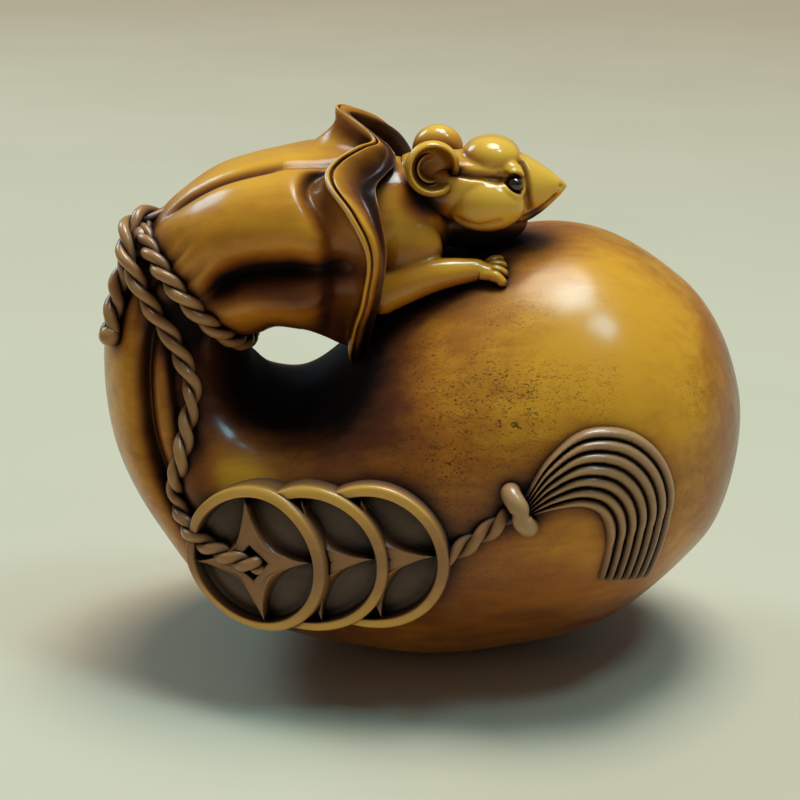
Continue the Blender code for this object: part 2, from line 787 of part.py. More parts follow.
def main():
    """Build the carving and its two eyes, and stand them on their flat spot."""
    clear_scene()
    wood = make_material("polished_wood", *WOOD)
    horn = make_material("dark_horn", *HORN)
    carving, body = make_sack()
    carving.name = "carving"
    body_skin = Skin([body])
    bpy.data.objects.remove(body, do_unlink=True)
    mouth = make_mouth()
    skin = Skin([carving, mouth])
    covers = (None,) + COIN_MIDDLES[:-1]
    coins = [make_coin(skin, middle, over) for middle, over in zip(COIN_MIDDLES, covers)]
    added = make_ropes(Skin([carving, mouth] + coins), skin)
    added.append(mouth)
    added.extend(coins)
    added.append(make_tassel(skin))
    added.append(make_knot(skin))
    added.extend(make_mouse(body_skin))
    combine(carving, added)
    eyes = []
    cutters = []
    for name, side in (("eye_near", -1), ("eye_far", 1)):
        centre = mirrored(EYE, side)
        cutters.extend(turn_head([ellipsoid("socket", centre, (EYE_RADIUS + EYE_GAP,) * 3, 14, 8)]))
        eyes.extend(turn_head([ellipsoid(name, centre, (EYE_RADIUS,) * 3, 14, 8)]))
    combine(carving, cutters, "DIFFERENCE")
    keep_one_body(carving)
    collapse(carving)
    combine(carving, [cutting_box((-40, -40, -20), (40, 40, FLAT_SPOT))], "DIFFERENCE")
    combine(carving, [make_foot()])
    keep_one_body(carving)
    carving.data.materials.clear()
    carving.data.materials.append(wood)
    for eye in eyes:
        eye.data.materials.append(horn)
    places = np.array([vert.co for vert in carving.data.vertices])
    low, high = places.min(axis=0), places.max(axis=0)
    base = Vector(((low[0] + high[0]) / 2, (low[1] + high[1]) / 2, low[2]))
    for item in [carving] + eyes:
        item.data.transform(Matrix.Translation(-base))


main()
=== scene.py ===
"""The carved netsuke: a mouse leans out of the ruffled mouth of a tied sack.

Sizes are the carver's millimetres: X runs from the tied neck to the round end, the
side with the coins faces -Y, and Z is up. place() turns them into the frame's metres.
"""

import logging
import math
from dataclasses import dataclass, replace
from enum import Enum

import bmesh
import bpy
import numpy as np
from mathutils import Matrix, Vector
from mathutils.bvhtree import BVHTree


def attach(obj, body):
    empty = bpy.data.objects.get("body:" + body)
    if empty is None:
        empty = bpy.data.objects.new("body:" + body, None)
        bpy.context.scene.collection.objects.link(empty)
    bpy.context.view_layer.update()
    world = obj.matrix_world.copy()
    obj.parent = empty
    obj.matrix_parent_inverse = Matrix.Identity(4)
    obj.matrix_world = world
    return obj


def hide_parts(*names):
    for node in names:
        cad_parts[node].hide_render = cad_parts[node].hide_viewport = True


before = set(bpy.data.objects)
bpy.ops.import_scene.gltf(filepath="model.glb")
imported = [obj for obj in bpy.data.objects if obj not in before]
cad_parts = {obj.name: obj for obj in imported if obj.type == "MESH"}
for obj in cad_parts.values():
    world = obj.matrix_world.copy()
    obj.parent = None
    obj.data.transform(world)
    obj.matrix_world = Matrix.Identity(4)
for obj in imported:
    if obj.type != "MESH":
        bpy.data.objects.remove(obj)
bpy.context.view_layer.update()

LOG = logging.getLogger("netsuke")
MM = 0.001
Spot = tuple[float, float, float]
Flat = tuple[float, float]
Colour = tuple[float, float, float]

# The height of the flat spot, and the frame's origin, in the carver's millimetres.
FLAT_SPOT = 0.74
SHIFT = np.array((0.3231, -1.1127, FLAT_SPOT))
# The axis of the mouth runs along X at this Y. Sight lines start this far outside.
MOUTH_Y = -2.4
OUTSIDE = 60.0
# Corners closer than this many metres are one.
MERGE = 1e-7
RIGHT, FRONT, UP = np.array((1.0, 0.0, 0.0)), np.array((0.0, -1.0, 0.0)), np.array((0.0, 0.0, 1.0))


class Side(Enum):
    """The two sides of the mouse; the value is the direction along Y."""

    NEAR = -1
    FAR = 1


class Stuff(Enum):
    """The record's material slots."""

    WOOD = "polished_wood"
    HORN = "dark_horn"


def place(points: np.ndarray) -> np.ndarray:
    """Turn the carver's millimetres into metres of the frame."""
    return (np.asarray(points, float) - SHIFT) * MM


def carver(points: np.ndarray) -> np.ndarray:
    """Turn metres of the frame into the carver's millimetres."""
    return np.asarray(points, float) / MM + SHIFT


def unit(rows: np.ndarray) -> np.ndarray:
    """Scale each row to length 1."""
    return rows / np.linalg.norm(rows, axis=-1, keepdims=True)


def bell(values: np.ndarray, middle: float, width: float, power: float = 2) -> np.ndarray:
    """Return 1 at the middle, fading out over the width, more steeply at a higher power."""
    return np.exp(-(((values - middle) / width) ** power))


def eased(share: np.ndarray) -> np.ndarray:
    """Ease a share at both its ends."""
    return share * share * (3 - 2 * share)


def all_round(count: int, whole: float = 2 * math.pi) -> np.ndarray:
    """Return equal steps round a full turn."""
    return whole * np.arange(count) / count


def apart(angles: np.ndarray, middle: float) -> np.ndarray:
    """Return how many degrees angles lie from a middle, either way round."""
    return np.abs((angles - middle + 180) % 360 - 180)


def smooth_line(rows: np.ndarray, at: np.ndarray, knots: np.ndarray | None = None) -> np.ndarray:
    """Read a smooth curve through rows of numbers.

    Args:
        rows: The rows that the curve passes through.
        at: Where the curve is read, in the units of the knots.
        knots: The place of each row along the curve; the row numbers if left out.

    Returns:
        One row for each value in at.
    """
    rows = np.asarray(rows, float)
    knots = np.arange(len(rows), dtype=float) if knots is None else np.asarray(knots, float)
    steps = np.diff(knots)[:, None]
    slopes = np.diff(rows, axis=0) / steps
    tangents = np.empty_like(rows)
    tangents[0] = slopes[0]
    tangents[-1] = slopes[-1]
    tangents[1:-1] = (slopes[1:] * steps[:-1] + slopes[:-1] * steps[1:]) / (steps[1:] + steps[:-1])
    at = np.asarray(at, float)
    index = np.clip(np.searchsorted(knots, at, side="right") - 1, 0, len(rows) - 2)
    span = steps[index]
    part = (at - knots[index])[:, None] / span
    square = part * part
    cube = square * part
    return (
        (2 * cube - 3 * square + 1) * rows[index]
        + (cube - 2 * square + part) * span * tangents[index]
        + (3 * square - 2 * cube) * rows[index + 1]
        + (cube - square) * span * tangents[index + 1]
    )


def even_path(rows: np.ndarray, step: float, fineness: int = 40) -> np.ndarray:
    """Space points evenly on the smooth curve through some rows.

    Args:
        rows: The points that the curve passes through.
        step: About how far apart the new points lie.
        fineness: How many points per row are read before they are spaced.

    Returns:
        The new points, three at least.
    """
    fine = smooth_line(rows, np.linspace(0, len(rows) - 1, fineness * len(rows)))
    lengths = np.concatenate(([0], np.cumsum(np.linalg.norm(np.diff(fine, axis=0), axis=1))))
    wanted = np.linspace(0, lengths[-1], max(3, round(lengths[-1] / step) + 1))
    return np.stack([np.interp(wanted, lengths, column) for column in fine.T], 1)


def soften(path: np.ndarray, rounds: int) -> np.ndarray:
    """Average each point of a path with its neighbours, but keep both ends.

    Args:
        path: The points.
        rounds: How often they are averaged.

    Returns:
        The eased points.
    """
    for _ in range(rounds):
        inner = (path[:-2] + 2 * path[1:-1] + path[2:]) / 4
        path = np.concatenate((path[:1], inner, path[-1:]))
    return path


class Bench:
    """The hand operations that every piece is made with."""

    @staticmethod
    def clear() -> None:
        """Leave edit mode and deselect everything."""
        if bpy.context.object and bpy.context.object.mode != "OBJECT":
            bpy.ops.object.mode_set(mode="OBJECT")
        bpy.ops.object.select_all(action="DESELECT")

    @staticmethod
    def pick(*items: bpy.types.Object) -> None:
        """Select only some objects and make the first one active.

        Args:
            items: The objects.
        """
        Bench.clear()
        for item in items:
            item.select_set(True)
        bpy.context.view_layer.objects.active = items[0]

    @staticmethod
    def named(name: str) -> bpy.types.Object:
        """Name the active object and its mesh.

        Args:
            name: The name for both.

        Returns:
            The active object.
        """
        item = bpy.context.object
        item.name = name
        item.data.name = name
        return item

    @staticmethod
    def read(item: bpy.types.Object, what: str) -> np.ndarray:
        """Read three numbers of each vertex.

        Args:
            item: The piece.
            what: Its vertices' property: co for places in metres, or normal.

        Returns:
            One row for each vertex.
        """
        flat = np.empty(len(item.data.vertices) * 3)
        item.data.vertices.foreach_get(what, flat)
        return flat.reshape(-1, 3)

    @staticmethod
    def points(item: bpy.types.Object) -> np.ndarray:
        """Return the vertices of a piece in the carver's millimetres."""
        return carver(Bench.read(item, "co"))

    @staticmethod
    def move(item: bpy.types.Object, points: np.ndarray) -> None:
        """Put the vertices of a piece at the given places, in the carver's millimetres."""
        item.data.vertices.foreach_set("co", place(points).ravel())
        item.data.update()

    @staticmethod
    def modify(item: bpy.types.Object, kind: str, **settings: object) -> None:
        """Add one modifier and apply it.

        Args:
            item: The piece.
            kind: The modifier's type.
            settings: Its settings by name.
        """
        Bench.pick(item)
        step = item.modifiers.new(kind.lower(), kind)
        for name, value in settings.items():
            setattr(step, name, value)
        bpy.ops.object.modifier_apply(modifier=step.name)

    @staticmethod
    def close(item: bpy.types.Object) -> None:
        """Merge doubles, turn the faces outwards and shade them smooth.

        Args:
            item: The piece.
        """
        Bench.pick(item)
        bpy.ops.object.mode_set(mode="EDIT")
        bpy.ops.mesh.select_all(action="SELECT")
        bpy.ops.mesh.remove_doubles(threshold=MERGE)
        bpy.ops.mesh.normals_make_consistent(inside=False)
        bpy.ops.object.mode_set(mode="OBJECT")
        bpy.ops.object.shade_smooth()

    @staticmethod
    def shell(name: str, rings: np.ndarray, first: np.ndarray, last: np.ndarray,
              settled: np.ndarray | None = None) -> bpy.types.Object:
        """Draw a sphere out into a closed form.

        Args:
            name: The name of the piece.
            rings: Rings of equal length, as an array of rings, sides and 3.
            first: The pole before the first ring.
            last: The pole after the last ring.
            settled: How much darker each point of each ring is painted, for staining and painted shade;
                below 0 it is paler, for wear and painted light.

        Returns:
            The new object.
        """
        rings = np.asarray(rings, float)
        count, sides = rings.shape[:2]
        Bench.clear()
        bpy.ops.mesh.primitive_uv_sphere_add(segments=sides, ring_count=count + 1, radius=1.0)
        item = Bench.named(name)
        x, y, z = Bench.read(item, "co").T
        row = np.rint(np.arccos(np.clip(z, -1, 1)) / math.pi * (count + 1)).astype(int)
        side = np.rint(np.arctan2(y, x) / (2 * math.pi) * sides).astype(int) % sides
        row_inside = np.clip(row - 1, 0, count - 1)
        if settled is not None:
            layer = item.data.attributes.new("settled", "FLOAT", "POINT")
            layer.data.foreach_set("value", np.ascontiguousarray(settled[row_inside, side], float))
        target = rings[row_inside, side]
        target[row == 0] = first
        target[row == count + 1] = last
        Bench.move(item, target)
        Bench.close(item)
        return item

    @staticmethod
    def ball(name: str, centre: Spot, radii: Spot, sides: int = 32) -> bpy.types.Object:
        """Add a rounded form at its place.

        Args:
            name: The name of the piece.
            centre: Its middle.
            radii: Its radii along X, Y and Z.
            sides: How many sides it has.

        Returns:
            The new object.
        """
        Bench.clear()
        bpy.ops.mesh.primitive_uv_sphere_add(segments=sides, ring_count=sides // 2, radius=1.0,
                                             location=place(centre),
                                             scale=tuple(np.asarray(radii, float) * MM))
        bpy.ops.object.transform_apply(location=True, rotation=True, scale=True)
        bpy.ops.object.shade_smooth()
        return Bench.named(name)

    @staticmethod
    def tube(name: str, path: np.ndarray, radii: np.ndarray, closed: bool = False,
             bevel: int = 4) -> bpy.types.Object:
        """Draw a curve, give it a round section and turn it into a mesh.

        Args:
            name: The name of the piece.
            path: The points that the middle of the tube follows.
            radii: One radius for each point.
            closed: Whether the end joins the start.
            bevel: How finely the section is rounded.

        Returns:
            The new object.
        """
        Bench.clear()
        bpy.ops.curve.primitive_bezier_curve_add()
        curve = bpy.context.object.data
        curve.splines.clear()
        line = curve.splines.new("POLY")
        line.points.add(len(path) - 1)
        places = np.concatenate((place(path), np.ones((len(path), 1))), axis=1)
        line.points.foreach_set("co", places.ravel())
        line.points.foreach_set("radius", np.ascontiguousarray(radii, float))
        line.use_cyclic_u = closed
        curve.dimensions = "3D"
        curve.bevel_depth = MM
        curve.bevel_resolution = bevel
        curve.use_fill_caps = not closed
        bpy.ops.object.convert(target="MESH")
        item = Bench.named(name)
        Bench.close(item)
        return item

    @staticmethod
    def join(name: str, items: list[bpy.types.Object]) -> bpy.types.Object:
        """Join objects into one piece.

        Args:
            name: The name of the piece.
            items: The objects.

        Returns:
            The joined object.
        """
        Bench.pick(*items)
        bpy.ops.object.join()
        return Bench.named(name)

    @staticmethod
    def fuse(item: bpy.types.Object, voxel: float, rounds: int) -> None:
        """Melt the joined forms of a piece into one skin and ease it.

        Args:
            item: The piece.
            voxel: The size of the new skin's mesh.
            rounds: How often the skin is eased.
        """
        Bench.modify(item, "REMESH", mode="VOXEL", voxel_size=voxel * MM, use_smooth_shade=True)
        Bench.modify(item, "SMOOTH", factor=0.5, iterations=rounds)
        Bench.close(item)

    @staticmethod
    def roughen(item: bpy.types.Object, size: float, strength: float) -> None:
        """Give a piece the slight unevenness of hand work.

        Args:
            item: The piece.
            size: How far apart the swellings lie.
            strength: How far they go from the hollows.
        """
        texture = bpy.data.textures.new(item.name + "_hand", "CLOUDS")
        texture.noise_scale = size * MM
        texture.noise_depth = 1
        Bench.modify(item, "DISPLACE", texture=texture, texture_coords="LOCAL", strength=strength * MM,
                     mid_level=0.5)

    @staticmethod
    def press(item: bpy.types.Object, line: np.ndarray, depth: float, width: float,
              beside: float = 0.0) -> None:
        """Press a groove into a piece, or raise a ridge with a negative depth.

        Args:
            item: The piece.
            line: One point or more.
            depth: How deep the middle goes.
            width: The half width of the groove.
            beside: How far from the line the groove runs, such as round a point.
        """
        points = Bench.points(item)
        line = np.atleast_2d(np.asarray(line, float))
        away = np.linalg.norm(points - line[0], axis=1)
        for start, end in zip(line, line[1:]):
            along = end - start
            share = np.clip((points - start) @ along / (along @ along), 0, 1)
            away = np.minimum(away, np.linalg.norm(points - start - share[:, None] * along, axis=1))
        push = depth * bell(away, beside, width)
        Bench.move(item, points - Bench.read(item, "normal") * push[:, None])


class Skin:
    """Finds the surface of finished pieces along straight lines."""

    def __init__(self, items: list[bpy.types.Object]) -> None:
        """Read the meshes of some objects.

        Args:
            items: The objects.
        """
        mesh = bmesh.new()
        for item in items:
            mesh.from_mesh(item.data)
        self.tree = BVHTree.FromBMesh(mesh)
        mesh.free()

    def hit(self, start: Spot, along: Spot) -> tuple[np.ndarray, np.ndarray]:
        """Look along a straight line.

        Args:
            start: Where the line starts.
            along: Its direction.

        Returns:
            Where it first meets the surface, or the surface next to it, and the normal there.
        """
        spot, normal, _, _ = self.tree.ray_cast(Vector(place(start)), Vector(along))
        if spot is None:
            spot, normal, _, _ = self.tree.find_nearest(Vector(place((start[0], MOUTH_Y, start[2]))))
        return carver(spot), np.array(normal)

    def front(self, x: float, z: float) -> tuple[np.ndarray, np.ndarray]:
        """Return the point of the front surface at x and z, and its normal."""
        return self.hit((x, -OUTSIDE, z), (0.0, 1.0, 0.0))

    def nearest(self, point: np.ndarray, rise: float) -> np.ndarray:
        """Return the point that lies a given rise above the surface nearest to a point."""
        spot, normal, _, _ = self.tree.find_nearest(Vector(place(point)))
        return carver(spot) + np.array(normal) * rise

    def side(self, x: float, z: float, side: Side) -> np.ndarray:
        """Return the point of a side surface at x and z."""
        return self.hit((x, OUTSIDE * side.value, z), (0.0, -float(side.value), 0.0))[0]

    def top(self, x: float, y: float) -> float:
        """Return the height of the upper surface at x and y."""
        return float(self.hit((x, y, OUTSIDE), (0.0, 0.0, -1.0))[0][2])


class Value:
    """A node socket that takes part in Python arithmetic."""

    def __init__(self, nodes: "Nodes", socket: bpy.types.NodeSocket) -> None:
        """Keep the socket and the nodes that it belongs to."""
        self.nodes = nodes
        self.socket = socket

    def maths(self, operation: str, first: object, second: object) -> "Value":
        """Add one Math node for two values."""
        return self.nodes.add("ShaderNodeMath", {"operation": operation}, {0: first, 1: second})

    def __add__(self, other: object) -> "Value":
        """Add."""
        return self.maths("ADD", self, other)

    __radd__ = __add__

    def __mul__(self, other: object) -> "Value":
        """Multiply."""
        return self.maths("MULTIPLY", self, other)

    __rmul__ = __mul__

    def __sub__(self, other: object) -> "Value":
        """Subtract."""
        return self.maths("SUBTRACT", self, other)

    def __rsub__(self, other: object) -> "Value":
        """Subtract from a number."""
        return self.maths("SUBTRACT", other, self)

    def __pow__(self, power: float) -> "Value":
        """Raise to a power."""
        return self.maths("POWER", self, power)

    def least(self, other: object) -> "Value":
        """Take the smaller of two values."""
        return self.maths("MINIMUM", self, other)

    def most(self, other: object) -> "Value":
        """Take the larger of two values."""
        return self.maths("MAXIMUM", self, other)

    def between(self, low: float, high: float) -> "Value":
        """Ease from 0 at low to 1 at high."""
        ends = {"From Min": low, "From Max": high, "To Min": 0.0, "To Max": 1.0, "Value": self}
        return self.nodes.add("ShaderNodeMapRange", {"interpolation_type": "SMOOTHSTEP"}, ends)


class Nodes:
    """One material's nodes."""

    def __init__(self, name: str) -> None:
        """Start an opaque material with its Principled BSDF.

        Args:
            name: The material's name.
        """
        self.material = bpy.data.materials.new(name)
        self.material.use_nodes = True
        self.tree = self.material.node_tree
        self.shader = self.tree.nodes["Principled BSDF"]
        self.spot = self.add("ShaderNodeTexCoord", {}, {}, "Object")

    def add(self, kind: str, settings: dict, sockets: dict, output: int | str = 0) -> Value:
        """Add one node.

        Args:
            kind: The node's type.
            settings: Its settings, which are set first.
            sockets: Values or links by the name or number of the socket.
            output: The name or number of the socket that is handed back.

        Returns:
            The output socket as a value.
        """
        node = self.tree.nodes.new(kind)
        for name, value in settings.items():
            setattr(node, name, value)
        for name, value in sockets.items():
            self.feed(node.inputs[name], value)
        return Value(self, node.outputs[output])

    def feed(self, socket: bpy.types.NodeSocket, value: object) -> None:
        """Link a value to a socket, or set the socket to it.

        Args:
            socket: The input.
            value: A value of these nodes, a number, a vector or a colour.
        """
        if isinstance(value, Value):
            self.tree.links.new(value.socket, socket)
        elif socket.type == "RGBA" and len(value) == 3:
            socket.default_value = (*value, 1.0)
        else:
            socket.default_value = value

    def shade(self, **sockets: object) -> None:
        """Feed inputs of the shader.

        Args:
            sockets: Values by the input's name, with _ for a space.
        """
        for name, value in sockets.items():
            self.feed(self.shader.inputs[name.replace("_", " ")], value)

    def mix(self, share: object, first: object, second: object) -> Value:
        """Mix two colours by a share."""
        settings = {"data_type": "RGBA", "blend_type": "MIX", "clamp_factor": True}
        return self.add("ShaderNodeMix", settings, {0: share, 6: first, 7: second}, 2)

    def vector(self, operation: str, sockets: dict, output: int | str = 0) -> Value:
        """Add one Vector Math node."""
        return self.add("ShaderNodeVectorMath", {"operation": operation}, sockets, output)

    def noise(self, size: float, detail: float = 2.0, stretch: Spot = (1.0, 1.0, 1.0),
              twist: float = 0.0) -> Value:
        """Add a noise.

        Args:
            size: About how large its features are, in millimetres.
            detail: How much finer noise is laid over it.
            stretch: How much longer the features are along each axis.
            twist: How far they are distorted.

        Returns:
            The noise, about 0.5 in the mean.
        """
        scale = tuple(1.0 / (size * MM * part) for part in stretch)
        spot = self.add("ShaderNodeMapping", {"vector_type": "POINT"}, {"Vector": self.spot, "Scale": scale})
        sockets = {"Vector": spot, "Scale": 1.0, "Detail": detail, "Roughness": 0.55, "Distortion": twist}
        return self.add("ShaderNodeTexNoise", {}, sockets)

    def near(self, centre: Spot, reach: Spot) -> Value:
        """Mark a place of the carving.

        Args:
            centre: Its middle.
            reach: How far it goes along X, Y and Z.

        Returns:
            1 in the middle, easing to 0 at the reach.
        """
        middle = tuple(float(part) for part in place(centre))
        away = self.vector("SUBTRACT", {0: self.spot, 1: middle})
        size = tuple(1.0 / (part * MM) for part in reach)
        away = self.vector("MULTIPLY", {0: away, 1: size})
        return 1.0 - self.vector("LENGTH", {0: away}, "Value").between(0.0, 1.0)

    def crazing(self, size: float, bend: float = 0.9) -> Value:
        """Lay a net of fine cracks over the surface.

        Args:
            size: About how wide a cell is, in millimetres.
            bend: How fast the cracks change direction.

        Returns:
            How far a point is from the nearest crack, in cells.
        """
        bent = {"Vector": self.spot, "Scale": bend / (size * MM)}
        shift = self.add("ShaderNodeTexNoise", {}, bent, "Color")
        scaled = self.vector("SCALE", {0: self.spot, "Scale": 1 / (size * MM)})
        cells = {"Vector": self.vector("ADD", {0: scaled, 1: shift}), "Scale": 1.0}
        return self.add("ShaderNodeTexVoronoi", {"feature": "DISTANCE_TO_EDGE"}, cells)

    def open_air(self, distance: float) -> Value:
        """Return 1 on open surfaces and 0 deep in a recess of about that many millimetres."""
        return self.add("ShaderNodeAmbientOcclusion", {"samples": 6}, {"Distance": distance * MM}, "AO")


@dataclass(frozen=True)
class StainShadeAndLight:
    """A place made darker or lighter: some are real staining and wear, some painted shade and painted
    highlights.
    """

    centre: Spot
    reach: Spot
    strength: float

    def on(self, nodes: Nodes) -> Value:
        """Return how strong the place is over a piece."""
        return nodes.near(self.centre, self.reach) * self.strength


@dataclass(frozen=True)
class WoodFinish:
    """Stained, waxed wood, polished by handling; dark where staining lies and where shade is painted.

    The four colours run from little staining to full, and the darkest also paints shade. The two
    lists of places hold more and less of it: some real staining and wear, some painted shade and
    painted highlights. The crazed places have more pits and cracks. narrow and wide are the sizes
    of the recesses that hold grime and staining and are painted dark as shade.
    """

    name: str
    light: Colour = (0.79, 0.345, 0.024)
    middle: Colour = (0.42, 0.128, 0.012)
    deep: Colour = (0.125, 0.029, 0.008)
    # The darkest colour paints grime and the shade in recesses, hollows and the darkest painted places; the
    # pale one paints the bead's wear and its sheen.
    dirt_and_shade: Colour = (0.009, 0.005, 0.0035)
    bare_and_sheen: Colour = (0.62, 0.56, 0.44)
    crack: Colour = (0.055, 0.015, 0.007)
    stains_and_shade: tuple[StainShadeAndLight, ...] = ()
    worn_and_lit: tuple[StainShadeAndLight, ...] = ()
    crazed: tuple[StainShadeAndLight, ...] = ()
    base_stain: float = 0.32
    patchiness: float = 0.55
    narrow: float = 1.6
    wide: float = 8.0
    wide_share: float = 1.25
    roughness: float = 0.36
    coat: float = 0.46
    coat_roughness: float = 0.20
    pores: float = 1.0
    grain: float = 1.0
    settled: float = 1.0
    gloss: float = 0.08

    # Between which amounts of staining and painted shade each colour comes in, and at how much wear and
    # painted sheen the pale colour does.
    to_middle: Flat = (-0.05, 0.55)
    to_deep: Flat = (0.45, 1.05)
    to_dirt_and_shade: Flat = (0.90, 1.60)
    to_bare_and_sheen: Flat = (0.9, 1.5)

    # How deep in narrow recesses grime and painted shade begin and are full, and how steeply both kinds of
    # recess darken.
    recess_dirt_and_shade: Flat = (0.12, 0.72)
    narrow_power: float = 1.6
    wide_power: float = 1.4

    # Feature sizes in millimetres, and how much longer they are along X.
    patch_size: float = 9.0
    streak_size: float = 0.9
    streak_stretch: float = 7.0
    mottle_size: float = 2.2
    mottle_stretch: float = 1.6
    pit_size: float = 0.24
    pit_stretch: float = 1.7
    marked_size: float = 6.0
    crack_cell: float = 0.85
    crack_gap: float = 1.1

    # Between which values of their noises the marks begin and are full.
    marked: Flat = (0.45, 0.65)
    pitted: Flat = (0.54, 0.65)
    cracked: Flat = (0.045, 0.0)
    unbroken: Flat = (0.50, 0.60)

    # The marks' strength beside the crazed places, that of the cracks, and how dark both get.
    marked_share: float = 0.5
    crack_share: float = 0.6
    mark_share: float = 0.75
    mark_most: float = 0.85

    # How much the streaks and the mottle change the stain and the height.
    streak_stain: float = 0.38
    streak_height: float = 0.25
    mottle_stain: float = 0.5
    mottle_height: float = 0.5

    # How the roughness changes with the mottle, in grimy and painted-shade recesses and in pits, and its
    # bounds.
    mottle_rough: float = 0.14
    dirt_and_shade_rough: float = 0.45
    pit_rough: float = 0.2
    rough_bounds: Flat = (0.12, 0.85)
    pit_height: float = 0.25
    bump: float = 0.05
    bump_strength: float = 0.55

    def marks(self, nodes: Nodes) -> Value:
        """Scatter pits and short cracks over the wood.

        Args:
            nodes: The material's nodes.

        Returns:
            1 in a pit or crack, 0 beside it.
        """
        patch = nodes.noise(self.marked_size, 1.0).between(*self.marked) * self.marked_share
        for spot in self.crazed:
            patch = patch + spot.on(nodes)
        specks = nodes.noise(self.pit_size, 3.0, (self.pit_stretch, 1.0, 1.0), 1.5)
        pits = specks.between(*self.pitted) * patch * self.pores
        unbroken = nodes.noise(self.crack_gap, 1.0).between(*self.unbroken)
        cracks = nodes.crazing(self.crack_cell).between(*self.cracked) * unbroken * patch
        return pits.most(cracks * (self.crack_share * self.pores))

    def material(self) -> bpy.types.Material:
        """Build the node material of this finish.

        Returns:
            The material.
        """
        nodes = Nodes(self.name)
        least_stain = self.base_stain - 0.5 * self.patchiness
        stain_and_shade = nodes.noise(self.patch_size, 3.0) * self.patchiness + least_stain
        for spot in self.stains_and_shade:
            stain_and_shade = stain_and_shade + spot.on(nodes)
        covered = 1.0
        # Places of wear, and some painted highlights, lighten the wood and take off the painted recess
        # shade.
        for spot in self.worn_and_lit:
            rubbed_and_lit = spot.on(nodes)
            stain_and_shade = stain_and_shade - rubbed_and_lit
            covered = (1.0 - rubbed_and_lit) * covered
        streaks = nodes.noise(self.streak_size, 4.0, (self.streak_stretch, 1.0, 1.0), 0.4)
        mottle = nodes.noise(self.mottle_size, 4.0, (self.mottle_stretch, 1.0, 1.0), 0.6)
        stain_and_shade = stain_and_shade + (streaks - 0.5) * (self.streak_stain * self.grain)
        stain_and_shade = stain_and_shade + (mottle - 0.5) * (self.mottle_stain * self.grain)
        # Ambient occlusion paints shade into narrow recesses and wide hollows, together with their grime and
        # staining.
        recess = (1.0 - nodes.open_air(self.narrow) ** self.narrow_power) * covered
        hollow = (1.0 - nodes.open_air(self.wide) ** self.wide_power) * covered
        # Per point: staining and painted shade in folds, inside the mouth and under coins; below 0, wear and
        # painted light on the bead and the coin rims.
        point_stain_and_shading_fac = nodes.add("ShaderNodeAttribute", {"attribute_name": "settled"}, {}, "Fac")
        stain_and_shade = stain_and_shade + hollow * self.wide_share + point_stain_and_shading_fac * self.settled
        # Where staining and painted shade run highest, and deep in narrow recesses, the darkest colour
        # paints grime and shade.
        black = stain_and_shade.between(*self.to_dirt_and_shade)
        pits = self.marks(nodes)
        colour = nodes.mix(stain_and_shade.between(*self.to_middle), self.light, self.middle)
        for share, next_colour in (
            (stain_and_shade.between(*self.to_deep), self.deep),
            (black, self.dirt_and_shade),
            ((0.0 - point_stain_and_shading_fac).between(*self.to_bare_and_sheen), self.bare_and_sheen),
            ((pits * self.mark_share).least(self.mark_most), self.crack),
            (recess.between(*self.recess_dirt_and_shade), self.dirt_and_shade),
        ):
            colour = nodes.mix(share, colour, next_colour)
        dull = recess.most(black)
        rough = self.roughness + (mottle - 0.5) * self.mottle_rough
        rough = rough + dull * self.dirt_and_shade_rough + pits * self.pit_rough
        smoothest, roughest = self.rough_bounds
        height = streaks * self.streak_height + mottle * self.mottle_height - pits * self.pit_height
        bump = {"Strength": self.bump_strength, "Distance": self.bump * MM, "Height": height}
        nodes.shade(
            Base_Color=colour,
            Roughness=rough.least(roughest).most(smoothest),
            Coat_Weight=(self.coat - dull * self.coat).most(0.0),
            Coat_Roughness=self.coat_roughness,
            Specular_IOR_Level=self.gloss,
            Normal=nodes.add("ShaderNodeBump", {}, bump),
        )
        return nodes.material


@dataclass(frozen=True)
class HornFinish:
    """Polished dark horn, faintly clouded with brown."""

    name: str = "polished_horn"
    dark: Colour = (0.006, 0.004, 0.0035)
    brown: Colour = (0.035, 0.016, 0.008)
    cloud_size: float = 0.5
    roughness: float = 0.07
    coat_roughness: float = 0.03

    def material(self) -> bpy.types.Material:
        """Build the node material of this finish.

        Returns:
            The material.
        """
        nodes = Nodes(self.name)
        cloud = nodes.noise(self.cloud_size)
        nodes.shade(
            Base_Color=nodes.mix(cloud.between(0.35, 0.8), self.dark, self.brown),
            Roughness=cloud * 0.06 + self.roughness,
            Coat_Weight=1.0,
            Coat_Roughness=self.coat_roughness,
        )
        return nodes.material


@dataclass(frozen=True)
class PlainFinish:
    """The matt ground that the carving stands on."""

    name: str = "pale_ground"
    light: Colour = (0.60, 0.51, 0.355)
    dark: Colour = (0.54, 0.465, 0.32)
    roughness: float = 0.5

    def material(self) -> bpy.types.Material:
        """Build the node material of this finish.

        Returns:
            The material.
        """
        nodes = Nodes(self.name)
        nodes.shade(
            Base_Color=nodes.mix(nodes.noise(60.0), self.light, self.dark),
            Roughness=nodes.noise(25.0) * 0.1 + self.roughness,
        )
        return nodes.material


def hand_in(item: bpy.types.Object, finish: WoodFinish | HornFinish, node: str) -> None:
    """Dress a piece, let it ride on the carving and hide the solid that it stands for.

    Args:
        item: The piece.
        finish: Its finish.
        node: The solid that it replaces.
    """
    item.data.materials.clear()
    item.data.materials.append(finish.material())
    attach(item, "root")
    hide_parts(node)
    corners = Bench.read(item, "co") / MM
    low, high = corners.min(0).round(1), corners.max(0).round(1)
    LOG.info("%s: %d faces, %s to %s mm", item.name, len(item.data.polygons), low, high)


